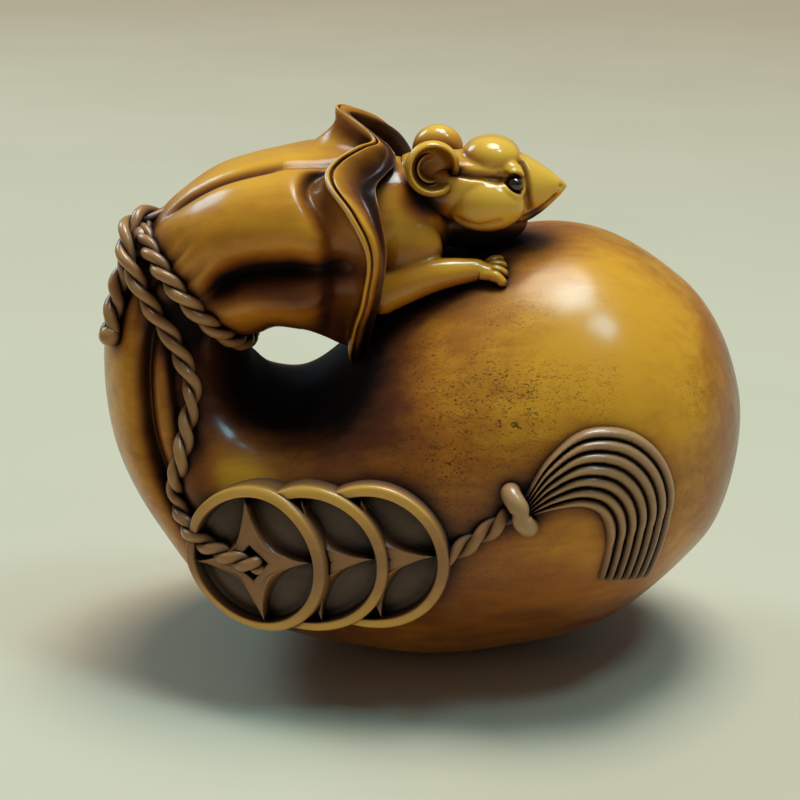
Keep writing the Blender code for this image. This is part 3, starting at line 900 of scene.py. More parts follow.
@dataclass(frozen=True)
class Fold:
    """One fold of the cloth, pressed along the sack's sections from start to end."""

    angle: float
    depth: float
    width: float
    start: float
    end: float
    ramp: float
    lean: float = 0.0

    def sink(self, angles: np.ndarray, station: float) -> np.ndarray:
        """Work out how deep this fold lies in a section.

        Args:
            angles: The angles of the section's points, in degrees.
            station: Where along the sections it lies.

        Returns:
            The depth at each angle.
        """
        begun, left = (station - self.start) / self.ramp, (self.end - station) / self.ramp
        rise = eased(min(max(begun, 0), 1) * min(max(left, 0), 1))
        middle = self.angle + self.lean * (station - self.start)
        return self.depth * rise * bell(apart(angles, middle), 0, self.width, 1.6)


@dataclass
class Sack:
    """The sack, from its round end round the cord gap and through the tie to its mouth.

    A section holds the x and z of its middle, its turn in degrees, its half height and half
    depth, the y of its middle and the power of its outline, which is 2 for an ellipse. The
    stations count the sections: the cap is -1 and the pole of the round end is -2.
    """

    sections: tuple = (
        (22.5, 19.5, -3, 8.8, 9.3, 0.0, 2.0),
        (19.9, 19.3, -2, 11.5, 12.4, 0.0, 2.0),
        (16.2, 18.9, -2, 14.3, 15.0, 0.0, 2.0),
        (12.3, 18.3, -2, 16.0, 16.2, 0.0, 2.0),
        (7.9, 17.6, -1, 16.5, 16.5, 0.0, 2.0),
        (1.8, 16.5, 3, 16.3, 16.4, 0.0, 2.0),
        (-3.7, 15.6, 8, 14.5, 15.6, 0.0, 2.1),
        (-8.6, 14.0, 16, 10.6, 15.0, 0.0, 2.6),
        (-12.4, 14.1, 25, 8.5, 13.8, 0.0, 2.7),
        (-15.9, 16.6, 38, 6.8, 12.2, 0.0, 2.6),
        (-18.0, 19.8, 56, 6.2, 10.6, -0.3, 2.3),
        (-18.8, 23.1, 79, 5.7, 9.2, -0.7, 2.1),
        (-18.8, 26.6, 108, 5.5, 8.0, -1.0, 2.0),
        (-17.7, 29.7, 133, 5.4, 7.2, -1.4, 2.0),
        (-15.5, 31.8, 147, 6.0, 8.4, -1.7, 2.3),
        (-12.9, 33.4, 159, 6.2, 9.2, -2.0, 2.5),
        (-9.5, 34.0, 173, 6.6, 9.7, -2.2, 2.5),
    )
    cap: tuple = (24.25, 19.75, -3, 4.9, 5.2, 0.0, 2.0)
    pole: tuple = (25.1, 20.0, -3, 0.0, 0.0, 0.0, 2.0)
    folds: tuple[Fold, ...] = (
        Fold(106, 1.50, 8, 8.0, 13.2, 1.5),
        Fold(82, 0.70, 7, 9.4, 13.0, 1.0),
        Fold(84, 2.40, 9, 13.2, 19.0, 1.3),
        Fold(160, 0.95, 6, 13.3, 16.8, 1.1),
        Fold(128, 0.25, 10, 12.4, 14.6, 0.8),
        Fold(256, 0.90, 9, 8.8, 13.2, 1.2),
        Fold(272, 1.10, 10, 13.2, 19.0, 1.3),
        Fold(218, 0.60, 8, 12.4, 16.4, 1.2),
        Fold(140, 0.35, 4, 11.9, 13.4, 0.5),
        Fold(120, 0.30, 4, 12.0, 13.5, 0.5),
        Fold(62, 0.30, 5, 11.6, 13.6, 0.6),
        Fold(100, 0.35, 4, 13.0, 14.6, 0.5, 2.0),
        Fold(116, 0.30, 4, 13.0, 14.4, 0.5, 3.0),
        Fold(180, 0.30, 5, 12.4, 14.4, 0.6),
        Fold(198, 0.30, 5, 12.2, 14.2, 0.6),
        Fold(238, 0.35, 5, 12.0, 14.6, 0.6),
        Fold(20, 0.30, 6, 12.2, 14.4, 0.6),
        Fold(340, 0.30, 6, 12.2, 14.4, 0.6),
    )
    sides: int = 224
    round_stations: tuple = (-1.94, -1.85, -1.72, -1.55, -1.35)
    start: float = -1.15
    step: float = 0.07
    tie: float = 13.2
    wrap: float = 13.35
    swelling_size: float = 9.0
    swelling: float = 0.22

    def ring(self, station: float, swell: float = 0.0, share: float = 1.0, folds: bool = True,
             sides: int | None = None) -> np.ndarray:
        """Return one closed ring of the sack; angle 0 faces the cord gap, 90 the front.

        Args:
            station: Where along the sections the ring lies; below 0 it is on the round end.
            swell: How far the ring is pushed outwards.
            share: Its size as a share of the section.
            folds: Whether the folds are pressed in.
            sides: How many points the ring has.

        Returns:
            The points of the ring.
        """
        mirror = (*self.cap[:3], -self.cap[3], -self.cap[4], *self.cap[5:])
        rows = np.array((mirror, self.pole, self.cap) + self.sections, float)
        x, z, turn, half_height, half_depth, middle_y, power = smooth_line(rows, [station + 3])[0]
        angles = all_round(sides or self.sides, 360)
        cosine, sine = np.cos(np.radians(angles)), np.sin(np.radians(angles))
        mean = 0.5 * (half_height + half_depth)
        shrink = np.full(len(angles), share)
        if folds:
            shrink = shrink - sum(fold.sink(angles, station) for fold in self.folds) / max(mean, 1.0)
        height = -(half_height + swell) * np.sign(cosine) * np.abs(cosine) ** (2 / power) * shrink
        depth = -(half_depth + swell) * np.sign(sine) * np.abs(sine) ** (2 / power) * shrink
        turn = math.radians(turn)
        out_x, out_z = -math.sin(turn), -math.cos(turn)
        return np.stack((x + out_x * height, middle_y + depth, z + out_z * height), 1)

    def build(self) -> bpy.types.Object:
        """Draw out the body of the sack up to the tie and cut its flat spot.

        Returns:
            The piece.
        """
        stations = np.concatenate((self.round_stations, np.arange(self.start, self.tie, self.step)))
        rings = [self.ring(station) for station in stations]
        round_end = np.array((self.pole[0], 0.0, self.pole[1]))
        item = Bench.shell("sack", rings, round_end, np.mean(rings[-1], axis=0))
        Bench.roughen(item, self.swelling_size, self.swelling)
        bpy.ops.object.mode_set(mode="EDIT")
        bpy.ops.mesh.select_all(action="SELECT")
        level = place((0.0, 0.0, FLAT_SPOT))
        bpy.ops.mesh.bisect(plane_co=tuple(level), plane_no=(0, 0, -1), use_fill=True, clear_outer=True,
                            threshold=MERGE)
        Bench.close(item)
        return item


@dataclass
class Mouth:
    """The cloth above the tie: the neck, the curled lip with its bead, and the inside.

    Angle 0 faces the cord gap and 90 the front. Each of the rim's rows holds an angle, the
    lip's x, its radius and how far it curls over. A row of lip is a knot along the cloth, a
    step along x and one outwards. A row of reading is a stretch of knots and its rings.
    """

    axis: Flat = (MOUTH_Y, 34.0)
    rim_rows: tuple = (
        (0, -4.5, 10.2, 0.9),
        (14, -5.2, 9.6, 1.0),
        (48, -5.0, 8.7, 1.0),
        (75, -4.2, 9.5, 0.8),
        (96, -4.0, 10.2, 0.9),
        (110, -5.2, 10.3, 1.75),
        (125, -6.8, 9.8, 2.95),
        (142, -6.4, 8.4, 3.2),
        (158, -4.7, 7.9, 2.3),
        (168, -3.6, 7.8, 0.8),
        (183, -6.3, 9.65, 0.4),
        (205, -4.0, 9.5, 0.8),
        (235, -2.2, 9.6, 1.1),
        (270, -1.9, 9.8, 1.2),
        (305, -3.2, 9.0, 1.4),
        (335, -3.8, 9.2, 1.3),
    )
    lip: tuple = (
        (4.6, -0.10, -1.00),
        (5.2, -0.10, -0.35),
        (5.5, -0.02, -0.04),
        (5.75, 0.14, 0.04),
        (6.0, 0.30, -0.06),
        (6.2, 0.42, -0.36),
        (6.4, 0.52, -0.20),
        (6.6, 0.66, -0.16),
        (6.9, 0.86, -0.34),
    )
    reading: tuple = ((0.08, 4.6, 26), (4.66, 7.0, 36), (7.08, 9.4, 18), (9.55, 14.0, 12))
    thickness: float = 0.55
    wall: float = 0.9
    dip: float = 0.95
    hollow: float = 0.40
    floor_x: float = -7.5
    start: float = 12.75
    end: float = 16.0
    step: float = 0.055
    groove_knot: float = 5.8
    bead_knot: float = 5.55
    edge_knot: float = 8.2
    inside_knot: float = 8.9
    # How deep a fold must be to be painted dark as shade, and how pale the bead is painted for its wear and
    # sheen.
    fold_shade_depth: float = 0.92
    bead_wear_and_sheen: float = 1.6
    swelling_size: float = 5.0
    swelling: float = 0.16

    def rim(self, angles: np.ndarray) -> np.ndarray:
        """Read the rim smoothly all the way round.

        Args:
            angles: Where it is read, in degrees.

        Returns:
            The lip's x, its radius and its curl at each angle.
        """
        rows = np.array(self.rim_rows, float)
        full = np.array((360.0, 0, 0, 0))
        rows = np.concatenate((rows[-3:] - full, rows, rows[:3] + full))
        return smooth_line(rows[:, 1:], angles, rows[:, 0])

    def around(self, x: np.ndarray, radius: np.ndarray, angles: np.ndarray) -> np.ndarray:
        """Return points round the axis of the mouth."""
        turn = np.radians(angles)
        return np.stack((x, self.axis[0] - radius * np.sin(turn), self.axis[1] - radius * np.cos(turn)), 1)

    def fold_shade(self, sack: Sack, angles: np.ndarray, station: float) -> np.ndarray:
        """Return how dark the deep folds of a section are painted, as shade."""
        deep = [fold for fold in sack.folds if fold.depth > self.fold_shade_depth]
        return 0.9 * sum((fold.sink(angles, station) / fold.depth) ** 2 for fold in deep)

    def neck_rows(self, sack: Sack, angles: np.ndarray) -> list[tuple[float, np.ndarray]]:
        """Lead the cloth from the neck to the underside of the lip.

        Args:
            sack: The sack below.
            angles: The angles of a row's points, in degrees.

        Returns:
            Each row's knot and its points.
        """
        lip_x, lip_radius, _ = self.rim(angles).T
        neck = sack.ring(self.end)
        under = self.around(lip_x - 0.10, lip_radius - 1.0, angles)
        centre = np.array((0.0, *self.axis))
        # The cloth is drawn in between neck and lip, but not at the top or beside the cord gap.
        top = bell(apart(angles, 175), 0, 27, 4)
        gap_side = 1 - bell(apart(angles, 0), 0, 45, 4)
        crease = sum(fold.sink(angles, self.end + 0.5) for fold in sack.folds)
        rows = [(-1.2, sack.ring(self.end - 0.4)), (0.0, neck)]
        low, high = (1.3, 0.34, 0.30 - 0.22 * top, -0.12), (2.9, 0.64, 0.60 - 0.28 * top, 1.0)
        for knot, share, flare, dip in (low, high):
            row = neck + (under - neck) * np.stack((np.full(len(angles), share), flare, flare), 1)
            inwards = unit((centre - row) * (0, 1, 1))
            sink = dip * self.dip * (1 - top) * gap_side + max(dip, 0) * 0.12 * crease * gap_side
            rows.append((knot, row + inwards * sink[:, None]))
        return rows

    def lip_rows(self, angles: np.ndarray) -> list[tuple[float, np.ndarray]]:
        """Lead the cloth over the lip, with its bead and groove, and down to the floor.

        Args:
            angles: The angles of a row's points, in degrees.

        Returns:
            Each row's knot and its points.
        """
        lip_x, lip_radius, curl = self.rim(angles).T
        crest_x = lip_x + curl
        crest_radius = lip_radius - 0.5 - 0.3 * curl
        scale = np.clip((curl + self.thickness) / 1.75, 0.4, 1.0)
        groove = 0.3 + 0.7 * bell(angles, 140, 42)
        rows = []
        for knot, along, out in self.lip:
            rise = min(out, 0.0) * groove + max(out, 0.0) if knot > self.groove_knot else out
            rows.append((knot, lip_x + along * scale, lip_radius + rise))
        # From here on the rows run over the curled edge, down the inner wall and to the floor.
        half_x = 0.45 * lip_x + 0.55 * crest_x + self.thickness
        half_radius = 0.5 * (lip_radius + crest_radius) - self.hollow * curl
        rows += [
            (7.8, half_x, half_radius),
            (8.8, crest_x + self.thickness, crest_radius),
            (9.4, crest_x + 0.2, crest_radius - 0.6),
            (10.4, crest_x - 0.7, crest_radius - self.wall - 0.35),
            (12.0, 0.5 * crest_x + 0.5 * self.floor_x, 0.8 * crest_radius),
            (14.0, np.full(len(angles), self.floor_x), 0.6 * lip_radius),
        ]
        return [(knot, self.around(x, radius, angles)) for knot, x, radius in rows]

    def stain_and_shade(self, sack: Sack, angles: np.ndarray, stations: np.ndarray, at: np.ndarray) -> np.ndarray:
        """Say where the folds and the inside are painted dark as shade, and where the bead is painted pale
        for its wear and sheen.

        Args:
            sack: The sack below.
            angles: The angles of a ring's points, in degrees.
            stations: The stations of the neck's rings.
            at: The knots of the other rings.

        Returns:
            A row for each ring; the bead's wear and painted sheen are below 0.
        """
        # The curled edge, the inside of the mouth and the deep folds are painted dark as shade, most beside
        # the curl's deep hollow.
        side = 0.35 + 0.65 * bell(angles, 133, 28, 4)
        inside = bell(at, self.edge_knot, 0.62) + (at > self.inside_knot)
        # The bead is painted pale for its wear and its sheen, most towards the curl.
        rubbed_and_lit = 0.5 + 0.5 * bell(angles, 135, 50)
        bead = bell(at, self.bead_knot, 0.22)[:, None] * rubbed_and_lit
        neck_fold_shade = np.array([self.fold_shade(sack, angles, station) for station in stations])
        lip_fold_shade = np.clip(1.1 - at / 4.6, 0, 1)[:, None] * self.fold_shade(sack, angles, self.end + 0.2)
        return np.concatenate((neck_fold_shade, inside[:, None] * side + lip_fold_shade - self.bead_wear_and_sheen * bead))

    def build(self, sack: Sack) -> bpy.types.Object:
        """Draw out the cloth from under the tie over the lip and down to the floor.

        Args:
            sack: The sack below.

        Returns:
            The piece.
        """
        stations = np.arange(self.start, self.end, self.step)
        shares = [min(1.0, 0.5 + 0.8 * (station - self.start)) for station in stations]
        rings = [sack.ring(station, share=share) for station, share in zip(stations, shares)]
        angles = all_round(sack.sides, 360)
        rows = self.neck_rows(sack, angles) + self.lip_rows(angles)
        at = np.concatenate([np.linspace(*stretch) for stretch in self.reading])
        flat = np.array([points.ravel() for _, points in rows])
        knots = [knot for knot, _ in rows]
        rings.extend(smooth_line(flat, at, knots).reshape(len(at), sack.sides, 3))
        floor = np.array((self.floor_x, *self.axis))
        settled = self.stain_and_shade(sack, angles, stations, at)
        item = Bench.shell("mouth", rings, np.mean(rings[0], axis=0), floor, settled)
        Bench.roughen(item, self.swelling_size, self.swelling)
        return item


@dataclass
class Ropes:
    """The carved rope: two twisted strands along each of its runs.

    knot and short_end are points in space. long_end and coin_end are x and z of the front
    view, and are laid on the surface there.
    """

    strand: float = 0.43
    offset: float = 0.34
    twist: float = 4.1
    step: float = 0.24
    rise: float = 0.30
    thinning: float = 0.12
    loop_sides: int = 400
    knot: tuple = (
        (-18.7, -1.2, 35.6), (-20.3, -2.4, 35.7), (-21.4, -3.6, 35.7),
        (-21.9, -5.0, 34.9), (-21.9, -6.2, 33.8), (-21.4, -7.0, 32.6),
    )
    lump: tuple[Spot, Spot] = ((-20.9, -4.2, 34.0), (1.2, 1.6, 1.3))
    long_end: tuple = (
        (-20.4, 30.7), (-18.9, 28.7), (-17.9, 26.7), (-17.1, 24.9), (-16.8, 23.0),
        (-17.3, 21.0), (-17.7, 18.5), (-18.1, 16.4), (-17.9, 14.6), (-16.6, 13.4),
        (-14.4, 12.85), (-12.4, 12.5), (-11.1, 12.35),
    )
    long_rise: float = 0.40
    long_slack: float = 0.3
    taut_length: float = 4.4
    short_end: tuple = (
        (-22.2, -5.4, 33.3), (-22.5, -5.5, 32.0), (-22.8, -5.7, 30.6),
        (-22.9, -6.1, 29.2), (-23.0, -6.4, 28.1), (-22.9, -6.6, 27.3),
    )
    short_rise: float = 0.55
    short_thick: float = 1.15
    short_tip: Spot = (0.85, 0.85, 0.8)
    coin_end: tuple = ((1.2, 13.2), (2.2, 13.8), (3.4, 14.7), (4.8, 15.7), (6.3, 17.0))

    def strands(self, path: np.ndarray, closed: bool = False, slack: float = 0.0,
                thick: float = 1.0) -> list[bpy.types.Object]:
        """Wind two strands round a path.

        Args:
            path: The points of the rope's middle.
            closed: Whether the rope is a loop, which needs a whole number of turns.
            slack: How much looser the twist is at the start than at the end.
            thick: The rope's thickness as a share of the usual one.

        Returns:
            The two strands.
        """
        length = float(np.linalg.norm(np.diff(path, axis=0), axis=1).sum())
        turns = round(length / self.twist) if closed else round(length / self.twist * 2) / 2
        tangents = np.roll(path, -1, 0) - np.roll(path, 1, 0)
        if not closed:
            tangents[0], tangents[-1] = path[1] - path[0], path[-1] - path[-2]
        tangents = unit(tangents)
        side = np.cross(tangents, FRONT)
        weak = np.linalg.norm(side, axis=1) < 0.3
        side[weak] = np.cross(tangents[weak], RIGHT)
        for index in range(1, len(side)):
            side[index] = unit(side[index - 1] - tangents[index] * (side[index - 1] @ tangents[index]))
        side[0] = unit(side[0])
        up = np.cross(tangents, side)
        share = np.arange(len(path)) / (len(path) if closed else len(path) - 1)
        radii = self.strand * thick * (1 - self.thinning * np.cos(2 * math.pi * share) ** 40)
        items = []
        for half in (0.0, math.pi):
            angle = (half - 2 * math.pi * turns * share * (1 - slack + slack * share))[:, None]
            line = path + self.offset * thick * (side * np.cos(angle) + up * np.sin(angle))
            items.append(Bench.tube("rope", line, radii, closed))
        return items

    def over(self, skin: Skin, flat: tuple, rise: float) -> np.ndarray:
        """Lay a run of the front view on the carving.

        Args:
            skin: The surface under it.
            flat: The x and z of its points.
            rise: How far its middle lies above the surface.

        Returns:
            The points of the rope's middle.
        """
        path = []
        for x, z in even_path(flat, self.step):
            spot, normal = skin.front(x, z)
            path.append(spot + normal * rise)
        return soften(np.array(path), 24)

    def taut(self, path: np.ndarray, tip: int = 6, tip_sink: float = 0.3, tuck: float = 1.5,
             rounds: int = 400) -> np.ndarray:
        """Pull the last part of a run straight over the coin and tuck its tip into the hole.

        Args:
            path: The run, which is changed.
            tip: How many points the tip has.
            tip_sink: How far behind the foremost point the tip is held while pulling.
            tuck: How far the tip is then bent in.
            rounds: How often each point is pulled between its neighbours.

        Returns:
            The run.
        """
        count = round(self.taut_length / self.step)
        laid = path[-count:, 1].copy()
        laid[-1] = laid[:-tip].min() + tip_sink
        pulled = laid.copy()
        for _ in range(rounds):
            pulled[1:-1] = np.minimum(laid[1:-1], 0.5 * (pulled[2:] + pulled[:-2]))
        pulled += tuck * np.clip(np.linspace(1 - self.taut_length, 1, count), 0, 1) ** 2
        path[-count:, 1] = pulled
        return path

    def build(self, sack: Sack, skin: Skin, coin_skin: Skin) -> bpy.types.Object:
        """Wind the wrap round the neck, both its ends and the short run to the knot.

        Args:
            sack: The sack that the wrap ties.
            skin: The surface of sack and mouth.
            coin_skin: The same with the coins.

        Returns:
            The piece.
        """
        ring = sack.ring(sack.wrap, swell=self.rise, folds=False, sides=self.loop_sides)
        loop = even_path(np.concatenate((ring, ring[:1])), self.step)[:-1]
        items = self.strands(loop, closed=True)
        hanging = self.taut(self.over(coin_skin, self.long_end, self.long_rise))
        hanging = soften(even_path(np.concatenate((self.knot, hanging)), self.step), 8)
        items += self.strands(hanging, slack=self.long_slack)
        short = [skin.nearest(spot, self.short_rise) for spot in even_path(self.short_end, self.step)]
        items += self.strands(soften(np.array(short), 6), thick=self.short_thick)
        items.append(Bench.ball("rope", short[-1], self.short_tip))
        items += self.strands(self.over(skin, self.coin_end, self.rise))
        items.append(Bench.ball("rope", *self.lump))
        return Bench.join("rope", items)


@dataclass
class Coins:
    """Three pierced coins, each with a rim and a four-pointed star, one over the other."""

    middles: tuple[Flat, ...] = ((-11.9, 12.55), (-7.8, 12.95), (-3.5, 13.3))
    radius: float = 5.65
    turn: float = 8.0
    rim: float = 0.85
    face: float = 0.20
    relief: float = 1.22
    bend: float = 0.45
    tilt: float = 5.0
    hole: float = 1.25
    waist: float = 2.15
    slope: float = 0.42
    sunk: float = 1.35
    sides: int = 192
    level_share: float = 0.7
    pole_depths: Flat = (1.0, 2.8)

    def profile(self, angles: np.ndarray) -> list[tuple]:
        """Draw a coin's section from the hole over the star and the floor to the edge.

        Args:
            angles: The angles of a ring's points.

        Returns:
            The radius, height and painted tone of each ring; below 0 is paler, for wear and painted light.
        """
        inner = self.radius - self.rim
        cosine, sine = np.cos(angles % (math.pi / 2)), np.sin(angles % (math.pi / 2))
        square = self.hole / (cosine + sine)
        # The floor's four lenses: each inner side is an arc that bows in to the star's waist.
        spot = (inner**2 - self.waist**2) / (2 * inner - 2 * math.sqrt(2) * self.waist)
        bow = spot * math.sqrt(2) - self.waist
        foot = spot * (cosine + sine) - np.sqrt(np.maximum(bow**2 - (spot * (cosine - sine)) ** 2, 0))
        foot = np.minimum(foot, inner - 0.02)
        gap = inner - foot
        star = np.maximum(foot - 0.06 - self.slope * 2 * cosine * sine, square + 0.2)
        top, low = self.relief, self.face
        span = star - square
        edge = np.minimum(0.12, 0.3 * gap)
        deep = np.minimum(gap / 0.5, 1.0)
        # The rim is painted paler at its top and bottom, for wear and for the light that catches there.
        rubbed_and_lit = -0.75 * np.abs(np.sin(angles + math.radians(self.turn))) ** 1.5
        # The hole's wall, the star's face, its slope, the floor, the rim and the outer wall.
        # The third number is painted tone: staining and painted shade in the hole and on the lens floors,
        # painted shade down the outer wall, and a painted highlight on the star's edge.
        return [
            (0.55 * square, -1.0, 1.5), (0.9 * square, -0.95, 1.5), (square, -0.6, 1.5),
            (square + 0.02, top - 0.3, 1.5), (square + 0.08, top - 0.12, 0.3),
            *((square + share * span, top - 0.08, 0.0) for share in np.linspace(0.12, 0.88, 9)),
            (star - 0.10, top - 0.05, 0.0), (star - 0.02, top - 0.08, -0.3),
            (0.75 * star + 0.25 * foot, top - 0.24, -0.1), (0.3 * star + 0.7 * foot, low + 0.40, 0.5 * deep),
            (foot - 0.01, low + 0.12, deep), (foot + 0.06 * gap, low + 0.01, deep),
            *((foot + share * gap, low - 0.05, deep) for share in np.linspace(0.2, 0.8, 6)),
            (inner - edge, low, deep), (inner - 0.3 * edge, low + 0.12, deep),
            (inner + 0.03, top - 0.16, 0.2), (inner + 0.10, top - 0.03, rubbed_and_lit),
            (inner + 0.20, top + 0.02, rubbed_and_lit),
            (self.radius - 0.20, top + 0.02, rubbed_and_lit), (self.radius - 0.07, top - 0.04, rubbed_and_lit),
            (self.radius, top - 0.18, 0.5 * rubbed_and_lit), (self.radius + 0.03, top - 0.7, 0.3),
            (self.radius, -1.2, 1.0), (self.radius - 0.4, -2.4, 1.0),
        ]

    def coin(self, skin: Skin, middle: Flat, over: Flat | None) -> bpy.types.Object:
        """Draw out one coin on the sack, sunk where the coin over it hides it.

        Args:
            skin: The surface under the coin.
            middle: The x and z of its middle.
            over: The middle of the coin that lies over it, if one does.

        Returns:
            The coin.
        """
        base, _ = skin.front(*middle)
        left, _ = skin.front(middle[0] - self.level_share * self.radius, middle[1])
        right, _ = skin.front(middle[0] + self.level_share * self.radius, middle[1])
        slope = math.atan2(right[1] - left[1], right[0] - left[0]) - math.radians(self.tilt)
        along = np.array((math.cos(slope), math.sin(slope), 0))
        out = np.array((math.sin(slope), -math.cos(slope), 0))
        angles = all_round(self.sides)
        shape = self.profile(angles)
        angles = (angles + math.radians(self.turn))[:, None]
        rings, stains_and_shade = [], []
        for radius, height, settled in shape:
            radius = (radius * np.ones(self.sides))[:, None]
            flat = base + along * (radius * np.cos(angles)) + UP * (radius * np.sin(angles))
            depth = np.array([skin.front(x, z)[0][1] for x, z in flat[:, (0, 2)]])
            lift = self.bend * (flat[:, 1] - depth) + height
            # Where the coin over it hides it, the coin is sunk and painted darker as shade.
            if over:
                away = np.hypot(flat[:, 0] - over[0], flat[:, 2] - over[1])
                hidden = np.clip((self.radius - 0.1 - away) / (0.8 * self.rim), 0, 1)
                lift = lift - self.sunk * eased(hidden)
                settled = settled + hidden
            rings.append(flat + out * lift[:, None])
            stains_and_shade.append(settled * np.ones(self.sides))
        first, last = (base - out * depth for depth in self.pole_depths)
        return Bench.shell("coin", rings, first, last, np.array(stains_and_shade))

    def build(self, skin: Skin) -> list[bpy.types.Object]:
        """Carve the three coins."""
        covers = (None,) + self.middles[:-1]
        return [self.coin(skin, middle, over) for middle, over in zip(self.middles, covers)]


@dataclass
class Tassel:
    """The fanned tassel and the knot ring at its head.

    The tassel lies between two edges, given as x and z of the front view.
    """

    inner: tuple[Flat, ...] = (
        (7.6, 16.9), (9.3, 17.3), (11.0, 17.5), (12.2, 17.1),
        (12.9, 16.2), (13.2, 14.8), (13.1, 13.0), (12.8, 11.0),
    )
    outer: tuple[Flat, ...] = (
        (7.2, 18.2), (8.9, 21.0), (11.4, 22.9), (14.6, 22.7),
        (17.0, 20.7), (18.2, 17.7), (18.0, 14.4), (17.0, 10.0),
    )
    strands: int = 7
    rise: float = 1.25
    groove: float = 0.60
    rows: int = 110
    across: int = 18
    backing: float = 0.7
    end_share: float = 0.03
    knot: Flat = (6.9, 17.35)
    knot_size: Spot = (1.05, 1.4, 0.72)
    knot_rise: float = 0.5
    knot_lean: Spot = (0.8, 0.0, 0.6)
    knot_step: float = 0.22
    knot_thinning: float = 0.20

    def fan(self, skin: Skin) -> bpy.types.Object:
        """Draw out the strands between the inner and the outer edge.

        Args:
            skin: The surface under the tassel.

        Returns:
            The fan.
        """
        at = np.linspace(0, len(self.inner) - 1, self.rows)
        inner, outer = smooth_line(self.inner, at), smooth_line(self.outer, at)
        columns = self.strands * self.across + 1
        share = np.arange(columns) / (columns - 1)
        lobe = np.abs(np.sin(math.pi * share * self.strands)) ** 0.50
        dome = 0.55 + 0.45 * np.sin(math.pi * share) ** 0.5
        rings = []
        for row, along in enumerate(np.arange(self.rows) / (self.rows - 1)):
            swell = max(math.sin(math.pi * min(1, 0.25 + 0.9 * along)) ** 0.5, 0.35)
            end = min(1.0, (1 - along) / self.end_share) ** 0.5
            lift = (self.rise * dome * swell - self.groove * (1 - lobe)) * (0.25 + 0.75 * end)
            upper, lower = [], []
            for column in range(columns):
                spot = inner[row] * (1 - share[column]) + outer[row] * share[column]
                surface, normal = skin.front(*spot)
                upper.append(surface + normal * lift[column])
                lower.append(surface - normal * self.backing)
            rings.append(upper + lower[::-1])
        rings = np.array(rings)
        return Bench.shell("tassel", rings, rings[0].mean(0), rings[-1].mean(0))

    def ring(self, skin: Skin) -> bpy.types.Object:
        """Wind the knot ring, thick at both ends and stepped in its middle.

        Args:
            skin: The surface under the knot.

        Returns:
            The ring.
        """
        seat, normal = skin.front(*self.knot)
        along = np.array(self.knot_lean)
        along = unit(along - normal * (along @ normal))
        across = np.cross(normal, along)
        high, wide, minor = self.knot_size
        angle = all_round(72)[:, None]
        path = seat + normal * (self.knot_rise + high * np.sin(angle)) + across * (wide * np.cos(angle))
        path = path + along * (self.knot_step * np.tanh(5 * np.cos(angle)))
        radii = minor * (1.0 - self.knot_thinning * bell(np.cos(angle[:, 0]), 0, 0.22))
        return Bench.tube("knot", path, radii, True, 8)

    def build(self, skin: Skin) -> list[bpy.types.Object]:
        """Carve the tassel and its knot ring."""
        return [self.fan(skin), self.ring(skin)]


@dataclass(frozen=True)
class Line:
    """A line pressed into both sides of the mouse's head, as x and z of its side view."""

    spots: tuple[Flat, ...]
    depth: float
    width: float

    def press(self, item: bpy.types.Object, skin: Skin, side: Side) -> None:
        """Press the line into one side of the head."""
        spots = [skin.side(x, z, side) for x, z in self.spots]
        Bench.press(item, np.array(spots), self.depth, self.width)


